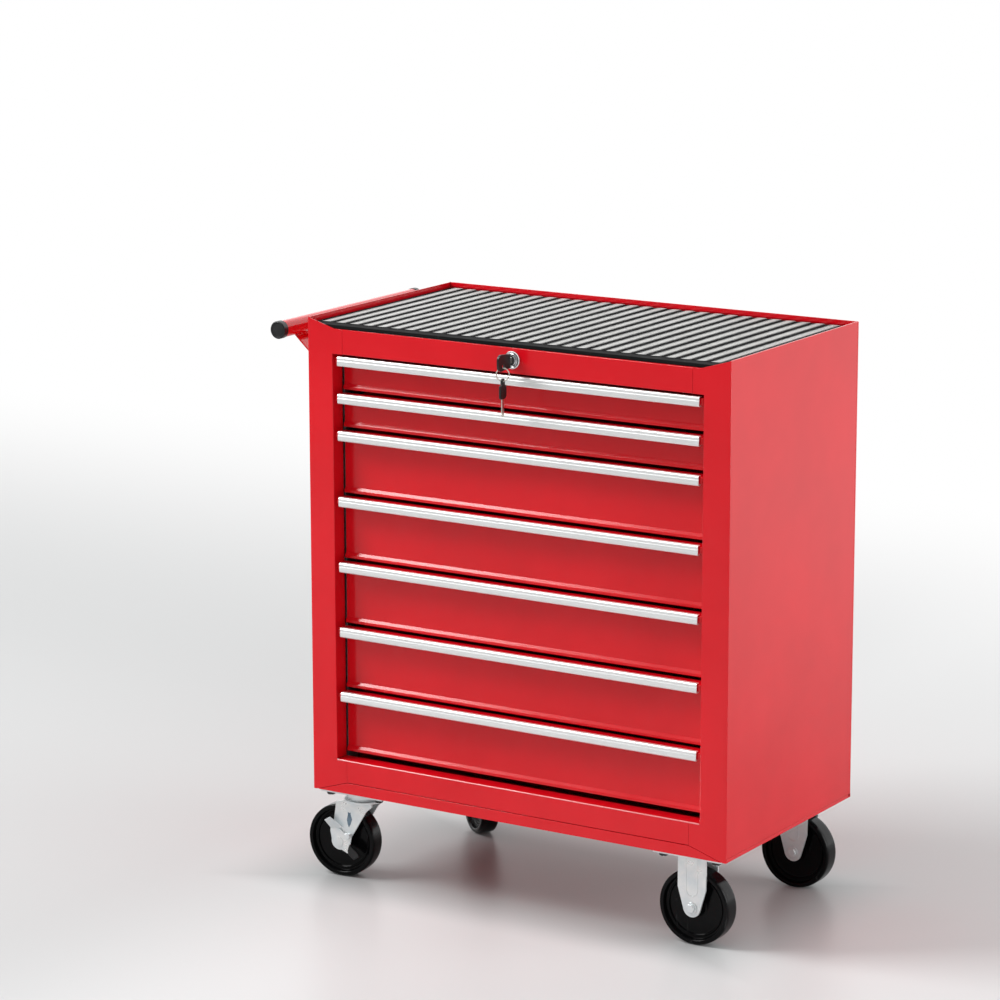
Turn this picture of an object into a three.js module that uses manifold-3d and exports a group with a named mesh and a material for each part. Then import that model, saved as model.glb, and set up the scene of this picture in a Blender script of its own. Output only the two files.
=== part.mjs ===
// Seven-drawer tool cart in folded sheet steel, on two rigid and two swivel casters.
// Millimetres, +Z up, front towards -Y. The origin is on the floor, under the middle of
// the whole cart, push handle and key included.
import * as THREE from 'three';
import { mergeVertices } from 'three/addons/utils/BufferGeometryUtils.js';
import Module from 'manifold-3d';

const wasm = await Module();
wasm.setup();

// Cabinet body
const BODY_WIDTH = 615;
const BODY_DEPTH = 334;
const BODY_HEIGHT = 625;
const SHEET = 1;
const SEAM = 0.3;
const CUT_OVERRUN = 1;
const POST_WIDTH = 37.5;
const TAB_WIDTH = 53;
const POST_MITRE_RUN = 42;
const POST_RETURN = 22;
const CORNER_FOOT = 5;
const TOP_HEM = 6;
const PAN_LIP = 4.7;
const PAN_JOGGLE_RISE = 14;
const REAR_WRAP = 3.5;
const REAR_FLANGE = 20;

// Front opening
const TOP_RAIL_DROP = 12.5;
const OPENING_TOP_DROP = 44.5;
const BOTTOM_RAIL_TOP = 45;
const PAN_FRONT_HEIGHT = 14.7;
const RAIL_FLANGE = 22;
const RAIL_LIP = 1;
const TOP_PANEL_SKIRT = 16;

// Ribbed mat
const MAT_BASE = 4.5;
const MAT_RIB = 1.4;
const MAT_RIB_PITCH = 21;
const MAT_RIB_WIDTH = 10.5;
const MAT_RIB_CREST_SHARE = 0.5;
const MAT_RIB_SIDE_SHARE = 0.5;
const MAT_FIRST_RIB = 17.4;
const MAT_FRONT_MARGIN = 15;

// Drawers
const SMALL_DRAWERS = 2;
const LARGE_DRAWERS = 5;
const SMALL_PITCH = 48.5;
const DRAWER_GAP = 3;
const DRAWER_TOP_CLEARANCE = 3.3;
const DRAWER_FOOT_CLEARANCE = 7.2;
const DRAWER_SIDE_CLEARANCE = 2.5;
const DRAWER_RECESS = 23;
const DRAWER_BACK_SPACE = 24.7;
const DRAWER_RUNNER_SPACE = 14;
const DRAWER_BOX_FLOOR = 3;
const DRAWER_BOX_DROP = 6;
const FLARE_HEIGHT = 7;
const FLARE_LIP = 3;
const FLARE_OUT = 2.8;

// Drawer pulls, an open extrusion clipped over the lip of the ledge
const PULL_SETBACK = 0.5;
const PULL_END_INSET = 4;
const PULL_HEIGHT = 13.2;
const PULL_WALL = 1.2;
const PULL_BEVEL_RUN = 1.2;
const PULL_BEVEL_RISE = 1.6;
const PULL_REACH = 6;
const LEDGE_LIP = 7.5;
const LEDGE_LIP_SETBACK = 3;

// Drawer runners
const RAIL_HEIGHT = 30;
const RAIL_OVERLAP = 12;
const RUNNER_CLEARANCE = 0.5;
const RAIL_FRONT_GAP = 2;
const RAIL_BACK_SPACE = 18;
const RAIL_RISE = 20;
const UPRIGHT_WIDTH = 20;
const UPRIGHT_MARGIN = 24;

// Push handle on the left side
const HANDLE_STANDOFF = 50;
const HANDLE_DROP = 22.5;
const HANDLE_RADIUS = 11;
const HANDLE_WALL = 1.2;
const HANDLE_FRONT = 12;
const HANDLE_BACK = 17;
const CAP_RADIUS = 11.6;
const CAP_FLANGE = 8.5;
const CAP_PLUG = 12;
const BRACKET_SHEET = 2;
const BRACKET_FRONT_INSET = 32;
const BRACKET_REAR_INSET = 29;
const BRACKET_WIDTH = 24;
const BRACKET_FLANGE = 22;
const BRACKET_SLOPE_DEG = 42;
const BRACKET_SEAT_START_DEG = -90;

// Lock and keys
const LOCK_DROP = 27.3;
const LOCK_BEZEL_RADIUS = 11.5;
const LOCK_BEZEL = 2.6;
const LOCK_BODY_RADIUS = 9.2;
const LOCK_BODY_LENGTH = 20;
const LOCK_NUT_RADIUS = 11.5;
const LOCK_NUT = 3.5;
const PLUG_RADIUS = 6.4;
const PLUG_PROUD = 1.4;
const LOCK_FIT = 0.3;
const CAM_THICKNESS = 1.8;
const CAM_WIDTH = 9;
const CAM_REACH = 15;
const KEY_THICKNESS = 3;
const KEY_HEIGHT = 21;
const KEY_REACH = 34;
const KEY_NECK_GAP = 1.7;
const KEY_CORNER_RADIUS = 7;
const KEY_SHOULDER_HEIGHT = 17;
const KEY_BLADE_HEIGHT = 7;
const KEY_BLADE_THICKNESS = 1.8;
const KEY_BLADE_LENGTH = 18;
const KEY_HOLE_RADIUS = 3;
const KEY_HOLE_SETBACK = 11.6;
const KEY_HOLE_DROP = 4.9;

// Casters
const CASTER_HEIGHT = 120.5;
const CASTER_SIDE_INSET = 57;
const CASTER_END_INSET = 33;
const WHEEL_RADIUS = 49;
const WHEEL_WIDTH = 25;
const WHEEL_FACETS = 28;
const WHEEL_RIM = 6.5;
const WHEEL_RIM_STEP = 4;
const WHEEL_WEB = 9;
const WHEEL_HUB_RADIUS = 13;
const WHEEL_HUB_WIDTH = 27;
const WHEEL_EDGE = 2;
const AXLE_RADIUS = 4.5;
const AXLE_FIT = 0.3;
const BOLT_RADIUS = 7.8;
const BOLT_HEAD = 4.5;
const FORK_SHEET = 2.5;
const FORK_CLEARANCE = 0.4;
const FORK_END_RADIUS = 12;
const PLATE_LENGTH = 96;
const PLATE_WIDTH = 60;
const PLATE_BOLT_SPACING = 75;
const PLATE_BOLT_SPACING_ACROSS = 42;
const PLATE_BOLT_RADIUS = 5.5;
const PLATE_BOLT_HEAD = 5;
const RIGID_LEG_WIDTH = 40;
const RIGID_LEG_SHOULDER = 46;
const RIGID_LEG_ARC_DEG = 15;
const SWIVEL_TRAIL = 28.5;
const SWIVEL_RACE_RADIUS = 23;
const SWIVEL_RACE_HEIGHT = 10;
const SWIVEL_RACE_TAPER = 2;
const SWIVEL_CROWN_RADIUS = 26;
const SWIVEL_LEG_FRONT = 20;
const SWIVEL_LEG_FRONT_DROP = 19.5;
const SWIVEL_LEG_KNEE = 12;
const SWIVEL_LEG_KNEE_DROP = 26.5;
const SWIVEL_LEG_CROWN = 17;
const SWIVEL_LEG_BACK = 33;
const SWIVEL_LEG_BACK_DROP = 18;
const SWIVEL_LEG_HEEL = 37;
const SWIVEL_LEG_HEEL_DROP = 46;
const SWIVEL_LEG_ARC_DEG = 195;
const FRONT_SWIVEL_DEG = 185;
const REAR_SWIVEL_DEG = 320;
const BRAKE_SHEET = 2;
const BRAKE_HUB_RADIUS = 12;
const BRAKE_TAB_REACH = 36;
const BRAKE_TAB_WIDTH = 11;
const BRAKE_TAB_BEND = 9;
const BRAKE_TAB_DEG = 60;
const BRAKE_PAD_REACH = 36;
const BRAKE_PAD_WIDTH = 13;
const BRAKE_PAD_DEG = 212;
const BRAKE_PAD_LENGTH = 16;
const BRAKE_PAD_THICKNESS = 4;

const ARC_STEPS = 24;
const SMALL_ARC_STEPS = 12;
const HEX_SIDES = 6;
const MERGE_DISTANCE = 0.00001;

// Finishes
const red = () => new THREE.MeshStandardMaterial({ color: 0xd2202e, roughness: 0.42, metalness: 0.1 });
const zinc = () => new THREE.MeshStandardMaterial({ color: 0xc9cdd0, roughness: 0.38, metalness: 0.9 });
const aluminium = () => new THREE.MeshStandardMaterial({ color: 0xdde0e1, roughness: 0.35, metalness: 0.9 });
const chrome = () => new THREE.MeshStandardMaterial({ color: 0xe2e4e6, roughness: 0.12, metalness: 1 });
const rubber = () => new THREE.MeshStandardMaterial({ color: 0x2a2b2b, roughness: 0.85, metalness: 0 });
const plastic = () => new THREE.MeshStandardMaterial({ color: 0x141415, roughness: 0.35, metalness: 0 });

// A closed geometry as a solid that can be joined and cut, without its collapsed triangles
function solid(geometry) {
  const bare = geometry.clone();
  bare.deleteAttribute('normal');
  bare.deleteAttribute('uv');
  const merged = mergeVertices(bare, MERGE_DISTANCE);
  const corners = merged.index.array;
  const triangles = [];
  for (let i = 0; i < corners.length; i += 3) {
    const [a, b, c] = corners.slice(i, i + 3);
    if (a !== b && b !== c && c !== a) {
      triangles.push(a, b, c);
    }
  }
  return new wasm.Manifold(new wasm.Mesh({
    numProp: 3,
    vertProperties: new Float32Array(merged.attributes.position.array),
    triVerts: new Uint32Array(triangles),
  }));
}

function join(...solids) {
  return solids.reduce((whole, next) => whole.add(next));
}

function cut(whole, ...tools) {
  return tools.reduce((left, tool) => left.subtract(tool), whole);
}

function moved(shape, x, y, z) {
  return shape.translate([x, y, z]);
}

// A block between two places on each axis
function block([x0, x1], [y0, y1], [z0, z1]) {
  const geometry = new THREE.BoxGeometry(x1 - x0, y1 - y0, z1 - z0);
  geometry.translate((x0 + x1) / 2, (y0 + y1) / 2, (z0 + z1) / 2);
  return solid(geometry);
}

function extruded(points, low, high, matrix, holes = []) {
  const shape = new THREE.Shape(points.map(([a, b]) => new THREE.Vector2(a, b)));
  for (const hole of holes) {
    shape.holes.push(new THREE.Path(hole.map(([a, b]) => new THREE.Vector2(a, b))));
  }
  const geometry = new THREE.ExtrudeGeometry(shape, { depth: high - low, bevelEnabled: false });
  geometry.applyMatrix4(matrix);
  return solid(geometry);
}

// Outlines in (y, z) run along X, in (x, z) along Y, and in (x, y) along Z
function alongX(points, low, high, holes) {
  const turn = new THREE.Matrix4().set(0, 0, 1, low, 1, 0, 0, 0, 0, 1, 0, 0, 0, 0, 0, 1);
  return extruded(points, low, high, turn, holes);
}

function alongY(points, low, high, holes) {
  const turn = new THREE.Matrix4().set(1, 0, 0, 0, 0, 0, -1, high, 0, 1, 0, 0, 0, 0, 0, 1);
  return extruded(points, low, high, turn, holes);
}

function alongZ(points, low, high, holes) {
  const turn = new THREE.Matrix4().makeTranslation(0, 0, low);
  return extruded(points, low, high, turn, holes);
}

function circle(x, y, radius, steps = ARC_STEPS) {
  return arc(x, y, radius, 0, 360 - 360 / steps, steps - 1);
}

function arc(x, y, radius, fromDeg, toDeg, steps = SMALL_ARC_STEPS) {
  const points = [];
  for (let i = 0; i <= steps; i += 1) {
    const angle = THREE.MathUtils.degToRad(fromDeg + (toDeg - fromDeg) * i / steps);
    points.push([x + radius * Math.cos(angle), y + radius * Math.sin(angle)]);
  }
  return points;
}

// A solid of revolution from (radius, height) points, about Z or about Y
function turnedZ(points, steps = ARC_STEPS) {
  const profile = points.map(([r, h]) => new THREE.Vector2(r, h));
  if (THREE.ShapeUtils.isClockWise(profile)) {
    profile.reverse();
  }
  const closed = profile[0].x > 0 ? [...profile, profile[0]] : profile;
  const geometry = new THREE.LatheGeometry(closed, steps);
  geometry.rotateY(Math.PI / steps);
  geometry.rotateX(Math.PI / 2);
  return solid(geometry);
}

function turnedY(points, steps = ARC_STEPS) {
  return turnedZ(points, steps).rotate([90, 0, 0]);
}

function discY(radius, low, high, steps = ARC_STEPS) {
  return alongY(circle(0, 0, radius, steps), low, high);
}

// A bent sheet: its outer line, and the same line offset to the right of its run
function sheetOutline(path, thickness) {
  const inner = path.map((point, i) => {
    const before = i > 0 ? direction(path[i - 1], point) : direction(point, path[i + 1]);
    const after = i < path.length - 1 ? direction(point, path[i + 1]) : before;
    const normal = [before[1] + after[1], -before[0] - after[0]];
    const scale = thickness / (normal[0] * before[1] - normal[1] * before[0]);
    return [point[0] + normal[0] * scale, point[1] + normal[1] * scale];
  });
  return [...path, ...inner.reverse()];
}

function direction(from, to) {
  const length = Math.hypot(to[0] - from[0], to[1] - from[1]);
  return [(to[0] - from[0]) / length, (to[1] - from[1]) / length];
}

function mirroredX(shape, about) {
  return moved(shape.mirror([1, 0, 0]), 2 * about, 0, 0);
}

function piece(name, shape, material) {
  const mesh = shape.getMesh();
  const geometry = new THREE.BufferGeometry();
  geometry.setAttribute('position', new THREE.BufferAttribute(mesh.vertProperties, 3));
  geometry.setIndex(new THREE.BufferAttribute(mesh.triVerts, 1));
  geometry.computeVertexNormals();
  const part = new THREE.Mesh(geometry, material);
  part.name = name;
  return part;
}

// Places that several pieces share, over the underside of the cabinet
const openingTop = BODY_HEIGHT - OPENING_TOP_DROP;
const topRailTop = BODY_HEIGHT - TOP_RAIL_DROP;
const topPanelLow = topRailTop - RAIL_LIP + SEAM;
const matLow = topPanelLow + SHEET + SEAM;
const skirtLow = topPanelLow - TOP_PANEL_SKIRT;
const postMitreSlope = (PAN_FRONT_HEIGHT + SEAM) / (TAB_WIDTH - CORNER_FOOT);
const bottomTabTop = BOTTOM_RAIL_TOP - SHEET - 2 * SEAM;
const sideLow = PAN_LIP + SEAM;
const panLipTop = PAN_LIP + PAN_JOGGLE_RISE;
const rearWall = BODY_DEPTH - SHEET - SEAM;
const sideEnd = BODY_DEPTH - REAR_WRAP - SEAM;
const innerSkin = SHEET + SEAM;
const handleHeight = BODY_HEIGHT - HANDLE_DROP;
const handleLength = BODY_DEPTH - HANDLE_FRONT - HANDLE_BACK;

// Side panel: one sheet, folded round the front corner into the post, with its tabs and
// return, folded over along the top, and stepped in at the back for the back panel
function sidePanel() {
  const wall = block([0, SHEET], [0, sideEnd], [sideLow, BODY_HEIGHT]);
  const hem = block([0, 2 * SHEET], [SHEET, sideEnd], [BODY_HEIGHT - TOP_HEM, BODY_HEIGHT]);
  const front = alongY([
    [0, 0],
    [CORNER_FOOT, 0],
    [TAB_WIDTH - SEAM, PAN_FRONT_HEIGHT + SEAM],
    [TAB_WIDTH - SEAM, bottomTabTop],
    [POST_WIDTH, bottomTabTop],
    [POST_WIDTH, openingTop],
    [TAB_WIDTH - SEAM, openingTop],
    [TAB_WIDTH - SEAM, topRailTop],
    [POST_MITRE_RUN, topRailTop],
    [0, BODY_HEIGHT],
  ], 0, SHEET);
  const postReturn = block(
    [POST_WIDTH - SHEET, POST_WIDTH],
    [0, POST_RETURN],
    [BOTTOM_RAIL_TOP + SEAM, openingTop - SEAM],
  );
  const stepHeights = [sideLow, topPanelLow - SEAM];
  const step = block([0, innerSkin + SHEET], [sideEnd - SHEET, sideEnd], stepHeights);
  const inner = block([innerSkin, innerSkin + SHEET], [sideEnd - SHEET, rearWall], stepHeights);
  const flange = block(
    [innerSkin, REAR_FLANGE],
    [rearWall - SHEET, rearWall],
    [sideLow + PAN_JOGGLE_RISE, skirtLow - SEAM],
  );
  return join(wall, hem, front, postReturn, step, inner, flange);
}

// Back panel, wrapped forward round the rear edges of the sides, hemmed along the top
function backPanel() {
  const plate = block([0, BODY_WIDTH], [BODY_DEPTH - SHEET, BODY_DEPTH], [sideLow, BODY_HEIGHT]);
  const wraps = [0, BODY_WIDTH - SHEET].map((x) => block(
    [x, x + SHEET],
    [BODY_DEPTH - REAR_WRAP, BODY_DEPTH],
    [sideLow, BODY_HEIGHT],
  ));
  const hem = block(
    [innerSkin + SHEET, BODY_WIDTH - innerSkin - SHEET],
    [BODY_DEPTH - 2 * SHEET, BODY_DEPTH],
    [BODY_HEIGHT - TOP_HEM, BODY_HEIGHT],
  );
  return join(plate, ...wraps, hem);
}

// Bottom pan: a floor with a mitred front lip, and low lips stepped in behind the sides
function bottomPan() {
  const floor = block([0, BODY_WIDTH], [innerSkin, BODY_DEPTH], [0, SHEET]);
  const footEnd = CORNER_FOOT + 2 * SEAM / postMitreSlope;
  const rootEnd = footEnd + 2 * SHEET / postMitreSlope;
  const lip = alongY([
    [footEnd, 0],
    [BODY_WIDTH - footEnd, 0],
    [BODY_WIDTH - TAB_WIDTH, PAN_FRONT_HEIGHT - SEAM],
    [TAB_WIDTH, PAN_FRONT_HEIGHT - SEAM],
  ], 0, SHEET);
  const lipRoot = block([rootEnd, BODY_WIDTH - rootEnd], [0, innerSkin + SHEET], [0, SHEET]);
  const sideLip = alongY(sheetOutline([
    [0, 0],
    [0, PAN_LIP],
    [innerSkin, PAN_LIP],
    [innerSkin, panLipTop],
  ], SHEET), innerSkin, sideEnd - SHEET - 2 * SEAM);
  const rearLip = block([0, BODY_WIDTH], [BODY_DEPTH - SHEET, BODY_DEPTH], [0, PAN_LIP]);
  return join(floor, lip, lipRoot, sideLip, mirroredX(sideLip, BODY_WIDTH / 2), rearLip);
}

// A rail's face between the posts, with its ends stepped back behind the posts' tabs
const railEnd = POST_WIDTH + SEAM;
function railFace(low, high, tongueHigh) {
  const face = block([TAB_WIDTH, BODY_WIDTH - TAB_WIDTH], [0, SHEET], [low, high]);
  const steps = [TAB_WIDTH, BODY_WIDTH - TAB_WIDTH - SHEET].map((x) => block(
    [x, x + SHEET],
    [0, innerSkin + SHEET],
    [low, tongueHigh],
  ));
  const tongues = [
    [railEnd, TAB_WIDTH + SHEET],
    [BODY_WIDTH - TAB_WIDTH - SHEET, BODY_WIDTH - railEnd],
  ].map((across) => block(across, [innerSkin, innerSkin + SHEET], [low, tongueHigh]));
  return join(face, ...steps, ...tongues);
}

// A rail's flange: from the face in the middle, and from behind the tabs at the ends
function railFlange(low) {
  const middle = block([TAB_WIDTH, BODY_WIDTH - TAB_WIDTH], [0, RAIL_FLANGE], [low, low + SHEET]);
  const ends = block([railEnd, BODY_WIDTH - railEnd], [innerSkin, RAIL_FLANGE], [low, low + SHEET]);
  return join(middle, ends);
}

// Top rail: a flange at its foot, one under the top panel, and the hole for the lock
function topRail() {
  const tongueHigh = topRailTop - RAIL_LIP;
  const face = railFace(openingTop, topRailTop, tongueHigh);
  const hole = moved(
    discY(LOCK_BODY_RADIUS + LOCK_FIT, -CUT_OVERRUN, SHEET + CUT_OVERRUN),
    BODY_WIDTH / 2,
    0,
    BODY_HEIGHT - LOCK_DROP,
  );
  return cut(join(face, railFlange(openingTop), railFlange(tongueHigh - SHEET)), hole);
}

// Bottom rail: a shelf at its top edge, which runs over the posts' tabs
function bottomRail() {
  const face = railFace(PAN_FRONT_HEIGHT + SEAM, BOTTOM_RAIL_TOP, BOTTOM_RAIL_TOP);
  const shelf = block(
    [railEnd, BODY_WIDTH - railEnd],
    [0, RAIL_FLANGE],
    [BOTTOM_RAIL_TOP - SHEET, BOTTOM_RAIL_TOP],
  );
  return join(face, shelf);
}

// Top panel under the mat, with a skirt down each side
function topPanel() {
  const across = [innerSkin, BODY_WIDTH - innerSkin];
  const plate = block(across, [innerSkin, rearWall], [topPanelLow, topPanelLow + SHEET]);
  const skirts = [innerSkin, BODY_WIDTH - innerSkin - SHEET].map((x) => block(
    [x, x + SHEET],
    [RAIL_FLANGE + RAIL_LIP, sideEnd - SHEET - 2 * SEAM],
    [skirtLow, topPanelLow + SHEET],
  ));
  return join(plate, ...skirts);
}

// Mat: a rubber sheet with broad ribs that run front to back, short of its front edge
function topMat() {
  const left = 2 * SHEET + SEAM;
  const right = BODY_WIDTH - left;
  const top = matLow + MAT_BASE;
  const base = block([left, right], [innerSkin, BODY_DEPTH - 2 * SHEET - SEAM], [matLow, top]);
  const half = MAT_RIB_WIDTH / 2;
  const crest = half * MAT_RIB_CREST_SHARE;
  const side = MAT_RIB * MAT_RIB_SIDE_SHARE;
  const ribs = [];
  for (let x = MAT_FIRST_RIB; x + half < right; x += MAT_RIB_PITCH) {
    ribs.push(alongY([
      [x - half, top - MAT_RIB],
      [x + half, top - MAT_RIB],
      [x + half, top + side],
      [x + crest, top + MAT_RIB],
      [x - crest, top + MAT_RIB],
      [x - half, top + side],
    ], innerSkin + MAT_FRONT_MARGIN, BODY_DEPTH - 2 * SHEET - SEAM));
  }
  return join(base, ...ribs);
}

// Drawer places: height of the top of each pull, and height of each front
const stackTop = openingTop - DRAWER_TOP_CLEARANCE;
const stackLow = BOTTOM_RAIL_TOP + DRAWER_FOOT_CLEARANCE - DRAWER_GAP;
const largePitch = (stackTop - stackLow - SMALL_DRAWERS * SMALL_PITCH) / LARGE_DRAWERS;
const drawers = [];
for (let i = 0, top = stackTop; i < SMALL_DRAWERS + LARGE_DRAWERS; i += 1) {
  const pitch = i < SMALL_DRAWERS ? SMALL_PITCH : largePitch;
  drawers.push({ number: i + 1, top, height: pitch - DRAWER_GAP });
  top -= pitch;
}
const drawerHalfWidth = BODY_WIDTH / 2 - POST_WIDTH - DRAWER_SIDE_CLEARANCE;
const railCentre = (drawer) => DRAWER_BOX_FLOOR + RAIL_RISE - drawer.height;
const railFront = DRAWER_RECESS + SHEET + RAIL_FRONT_GAP;
const railBack = BODY_DEPTH - RAIL_BACK_SPACE;

// Slide rack of one side: two uprights against the side panel, and one rail for each
// drawer, open towards the drawer
function slideRack() {
  const web = POST_WIDTH + SHEET;
  const uprights = [railFront, railBack - UPRIGHT_MARGIN - UPRIGHT_WIDTH].map((y) => alongZ(sheetOutline([
    [innerSkin, y],
    [web, y],
    [web, y + UPRIGHT_WIDTH],
    [innerSkin, y + UPRIGHT_WIDTH],
  ], -SHEET), panLipTop + SEAM, skirtLow - SEAM));
  const rails = drawers.map((drawer) => {
    const centre = drawer.top + railCentre(drawer);
    return alongY(sheetOutline([
      [POST_WIDTH + RAIL_OVERLAP, centre + RAIL_HEIGHT / 2],
      [POST_WIDTH, centre + RAIL_HEIGHT / 2],
      [POST_WIDTH, centre - RAIL_HEIGHT / 2],
      [POST_WIDTH + RAIL_OVERLAP, centre - RAIL_HEIGHT / 2],
    ], -SHEET), railFront, railBack);
  });
  return join(...uprights, ...rails);
}

// Drawer front: one sheet, from the lip that the pull clips over, back along the ledge,
// down the face, and out into a flared foot
function drawerFront(drawer) {
  const ledgeTop = -PULL_WALL - SEAM;
  const back = DRAWER_RECESS + SHEET;
  const foot = -drawer.height;
  return alongX(sheetOutline([
    [PULL_SETBACK + LEDGE_LIP_SETBACK, ledgeTop - LEDGE_LIP],
    [PULL_SETBACK + LEDGE_LIP_SETBACK, ledgeTop],
    [back, ledgeTop],
    [back, foot + FLARE_HEIGHT],
    [back - FLARE_OUT, foot + FLARE_LIP],
    [back - FLARE_OUT, foot],
  ], SHEET), -drawerHalfWidth, drawerHalfWidth);
}

// Pull: an open extrusion with a bevel along its top and bottom edges
function drawerPull() {
  const front = PULL_SETBACK;
  const half = drawerHalfWidth - PULL_END_INSET;
  return alongX(sheetOutline([
    [front + PULL_REACH, -PULL_HEIGHT],
    [front + PULL_BEVEL_RUN, -PULL_HEIGHT],
    [front, PULL_BEVEL_RISE - PULL_HEIGHT],
    [front, -PULL_BEVEL_RISE],
    [front + PULL_BEVEL_RUN, 0],
    [front + PULL_REACH, 0],
  ], PULL_WALL), -half, half);
}

// Drawer box: an open tray, with a runner channel along each side
function drawerBox(drawer) {
  const half = BODY_WIDTH / 2 - POST_WIDTH - DRAWER_RUNNER_SPACE;
  const front = DRAWER_RECESS + SHEET + SEAM;
  const back = BODY_DEPTH - DRAWER_BACK_SPACE;
  const low = DRAWER_BOX_FLOOR - drawer.height;
  const outer = block([-half, half], [front, back], [low, -DRAWER_BOX_DROP]);
  const inner = block(
    [SHEET - half, half - SHEET],
    [front + SHEET, back - SHEET],
    [low + SHEET, CUT_OVERRUN - DRAWER_BOX_DROP],
  );
  const web = BODY_WIDTH / 2 - POST_WIDTH - SHEET - RUNNER_CLEARANCE;
  const reach = RAIL_HEIGHT / 2 - SHEET - RUNNER_CLEARANCE;
  const runner = alongY(sheetOutline([
    [half - SHEET, railCentre(drawer) + reach],
    [web, railCentre(drawer) + reach],
    [web, railCentre(drawer) - reach],
    [half - SHEET, railCentre(drawer) - reach],
  ], SHEET), railFront, back);
  return join(cut(outer, inner), runner, mirroredX(runner, 0));
}

// Push handle: a tube with a cap in each end, braced from below by two bent strips
function handleTube() {
  return alongY(
    circle(0, 0, HANDLE_RADIUS),
    HANDLE_FRONT,
    HANDLE_FRONT + handleLength,
    [circle(0, 0, HANDLE_RADIUS - HANDLE_WALL)],
  );
}

function handleCap() {
  const plugRadius = HANDLE_RADIUS - HANDLE_WALL - SEAM;
  return turnedY([
    [0, 0],
    [CAP_RADIUS - SHEET, 0],
    [CAP_RADIUS, -SHEET],
    [CAP_RADIUS, -CAP_FLANGE],
    [plugRadius, -CAP_FLANGE],
    [plugRadius, -CAP_FLANGE - CAP_PLUG],
    [0, -CAP_FLANGE - CAP_PLUG],
  ]);
}

function handleBracket() {
  const seat = HANDLE_RADIUS + SEAM;
  const slope = THREE.MathUtils.degToRad(BRACKET_SLOPE_DEG);
  const seatTurnDeg = THREE.MathUtils.radToDeg(Math.acos(Math.cos(slope) + BRACKET_SHEET / seat));
  const seatEndDeg = BRACKET_SEAT_START_DEG - BRACKET_SLOPE_DEG + seatTurnDeg;
  const foot = handleHeight - seat - Math.tan(slope) * (HANDLE_STANDOFF - SEAM);
  const fold = foot + BRACKET_SHEET * Math.tan(slope) - BRACKET_SHEET / Math.cos(slope);
  return alongY([
    [-SEAM - BRACKET_SHEET, foot - BRACKET_FLANGE],
    [-SEAM, foot - BRACKET_FLANGE],
    [-SEAM, foot],
    ...arc(-HANDLE_STANDOFF, handleHeight, seat, BRACKET_SEAT_START_DEG, seatEndDeg),
    [-SEAM - BRACKET_SHEET, fold],
  ], 0, BRACKET_WIDTH);
}

// Lock: a flanged barrel through the top rail, its nut, and the plug with its cam
function lockBarrel() {
  const bore = PLUG_RADIUS + LOCK_FIT;
  return turnedY([
    [bore, SEAM + LOCK_BEZEL],
    [LOCK_BEZEL_RADIUS - SHEET, SEAM + LOCK_BEZEL],
    [LOCK_BEZEL_RADIUS, SEAM + LOCK_BEZEL - SHEET],
    [LOCK_BEZEL_RADIUS, SEAM],
    [LOCK_BODY_RADIUS, SEAM],
    [LOCK_BODY_RADIUS, -LOCK_BODY_LENGTH],
    [bore, -LOCK_BODY_LENGTH],
  ]);
}

function lockNut() {
  const corners = circle(0, 0, LOCK_NUT_RADIUS, HEX_SIDES);
  const bore = circle(0, 0, LOCK_BODY_RADIUS + SEAM);
  return alongY(corners, SHEET + SEAM, SHEET + SEAM + LOCK_NUT, [bore]);
}

function lockPlug() {
  const front = -SEAM - LOCK_BEZEL - PLUG_PROUD;
  const back = LOCK_BODY_LENGTH + SEAM;
  const body = discY(PLUG_RADIUS, front, back + CAM_THICKNESS);
  const cam = block([0, CAM_REACH], [back, back + CAM_THICKNESS], [-CAM_WIDTH / 2, CAM_WIDTH / 2]);
  const keyway = block(
    [-KEY_BLADE_THICKNESS / 2 - SEAM, KEY_BLADE_THICKNESS / 2 + SEAM],
    [front - CUT_OVERRUN, KEY_BLADE_LENGTH + SEAM],
    [-KEY_BLADE_HEIGHT / 2 - SEAM, KEY_BLADE_HEIGHT / 2 + SEAM],
  );
  return cut(join(body, cam), keyway);
}

// Key in the lock: a flat rounded head that stands upright, with a hole for a ring
function keyInLock() {
  const neck = SEAM + LOCK_BEZEL + PLUG_PROUD + KEY_NECK_GAP;
  const half = KEY_HEIGHT / 2;
  const hole = circle(KEY_HOLE_SETBACK - KEY_REACH, -KEY_HOLE_DROP, KEY_HOLE_RADIUS, SMALL_ARC_STEPS);
  const head = alongX([
    ...arc(KEY_CORNER_RADIUS - KEY_REACH, KEY_CORNER_RADIUS - half, KEY_CORNER_RADIUS, -180, -90),
    [-neck, -KEY_SHOULDER_HEIGHT / 2],
    [-neck, KEY_SHOULDER_HEIGHT / 2],
    ...arc(KEY_CORNER_RADIUS - KEY_REACH, half - KEY_CORNER_RADIUS, KEY_CORNER_RADIUS, 90, 180),
  ], -KEY_THICKNESS / 2, KEY_THICKNESS / 2, [hole]);
  const blade = block(
    [-KEY_BLADE_THICKNESS / 2, KEY_BLADE_THICKNESS / 2],
    [-neck - SHEET, KEY_BLADE_LENGTH],
    [-KEY_BLADE_HEIGHT / 2, KEY_BLADE_HEIGHT / 2],
  );
  return join(head, blade);
}

// Casters, each in its own frame: the cabinet's underside at zero height, the plate
// centred, and the wheel's axle across Y at its own place
const axleDrop = WHEEL_RADIUS - CASTER_HEIGHT;
const plateTop = -SEAM;
const plateLow = plateTop - FORK_SHEET;
const legInner = WHEEL_HUB_WIDTH / 2 + FORK_CLEARANCE;
const legOuter = legInner + FORK_SHEET;

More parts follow.
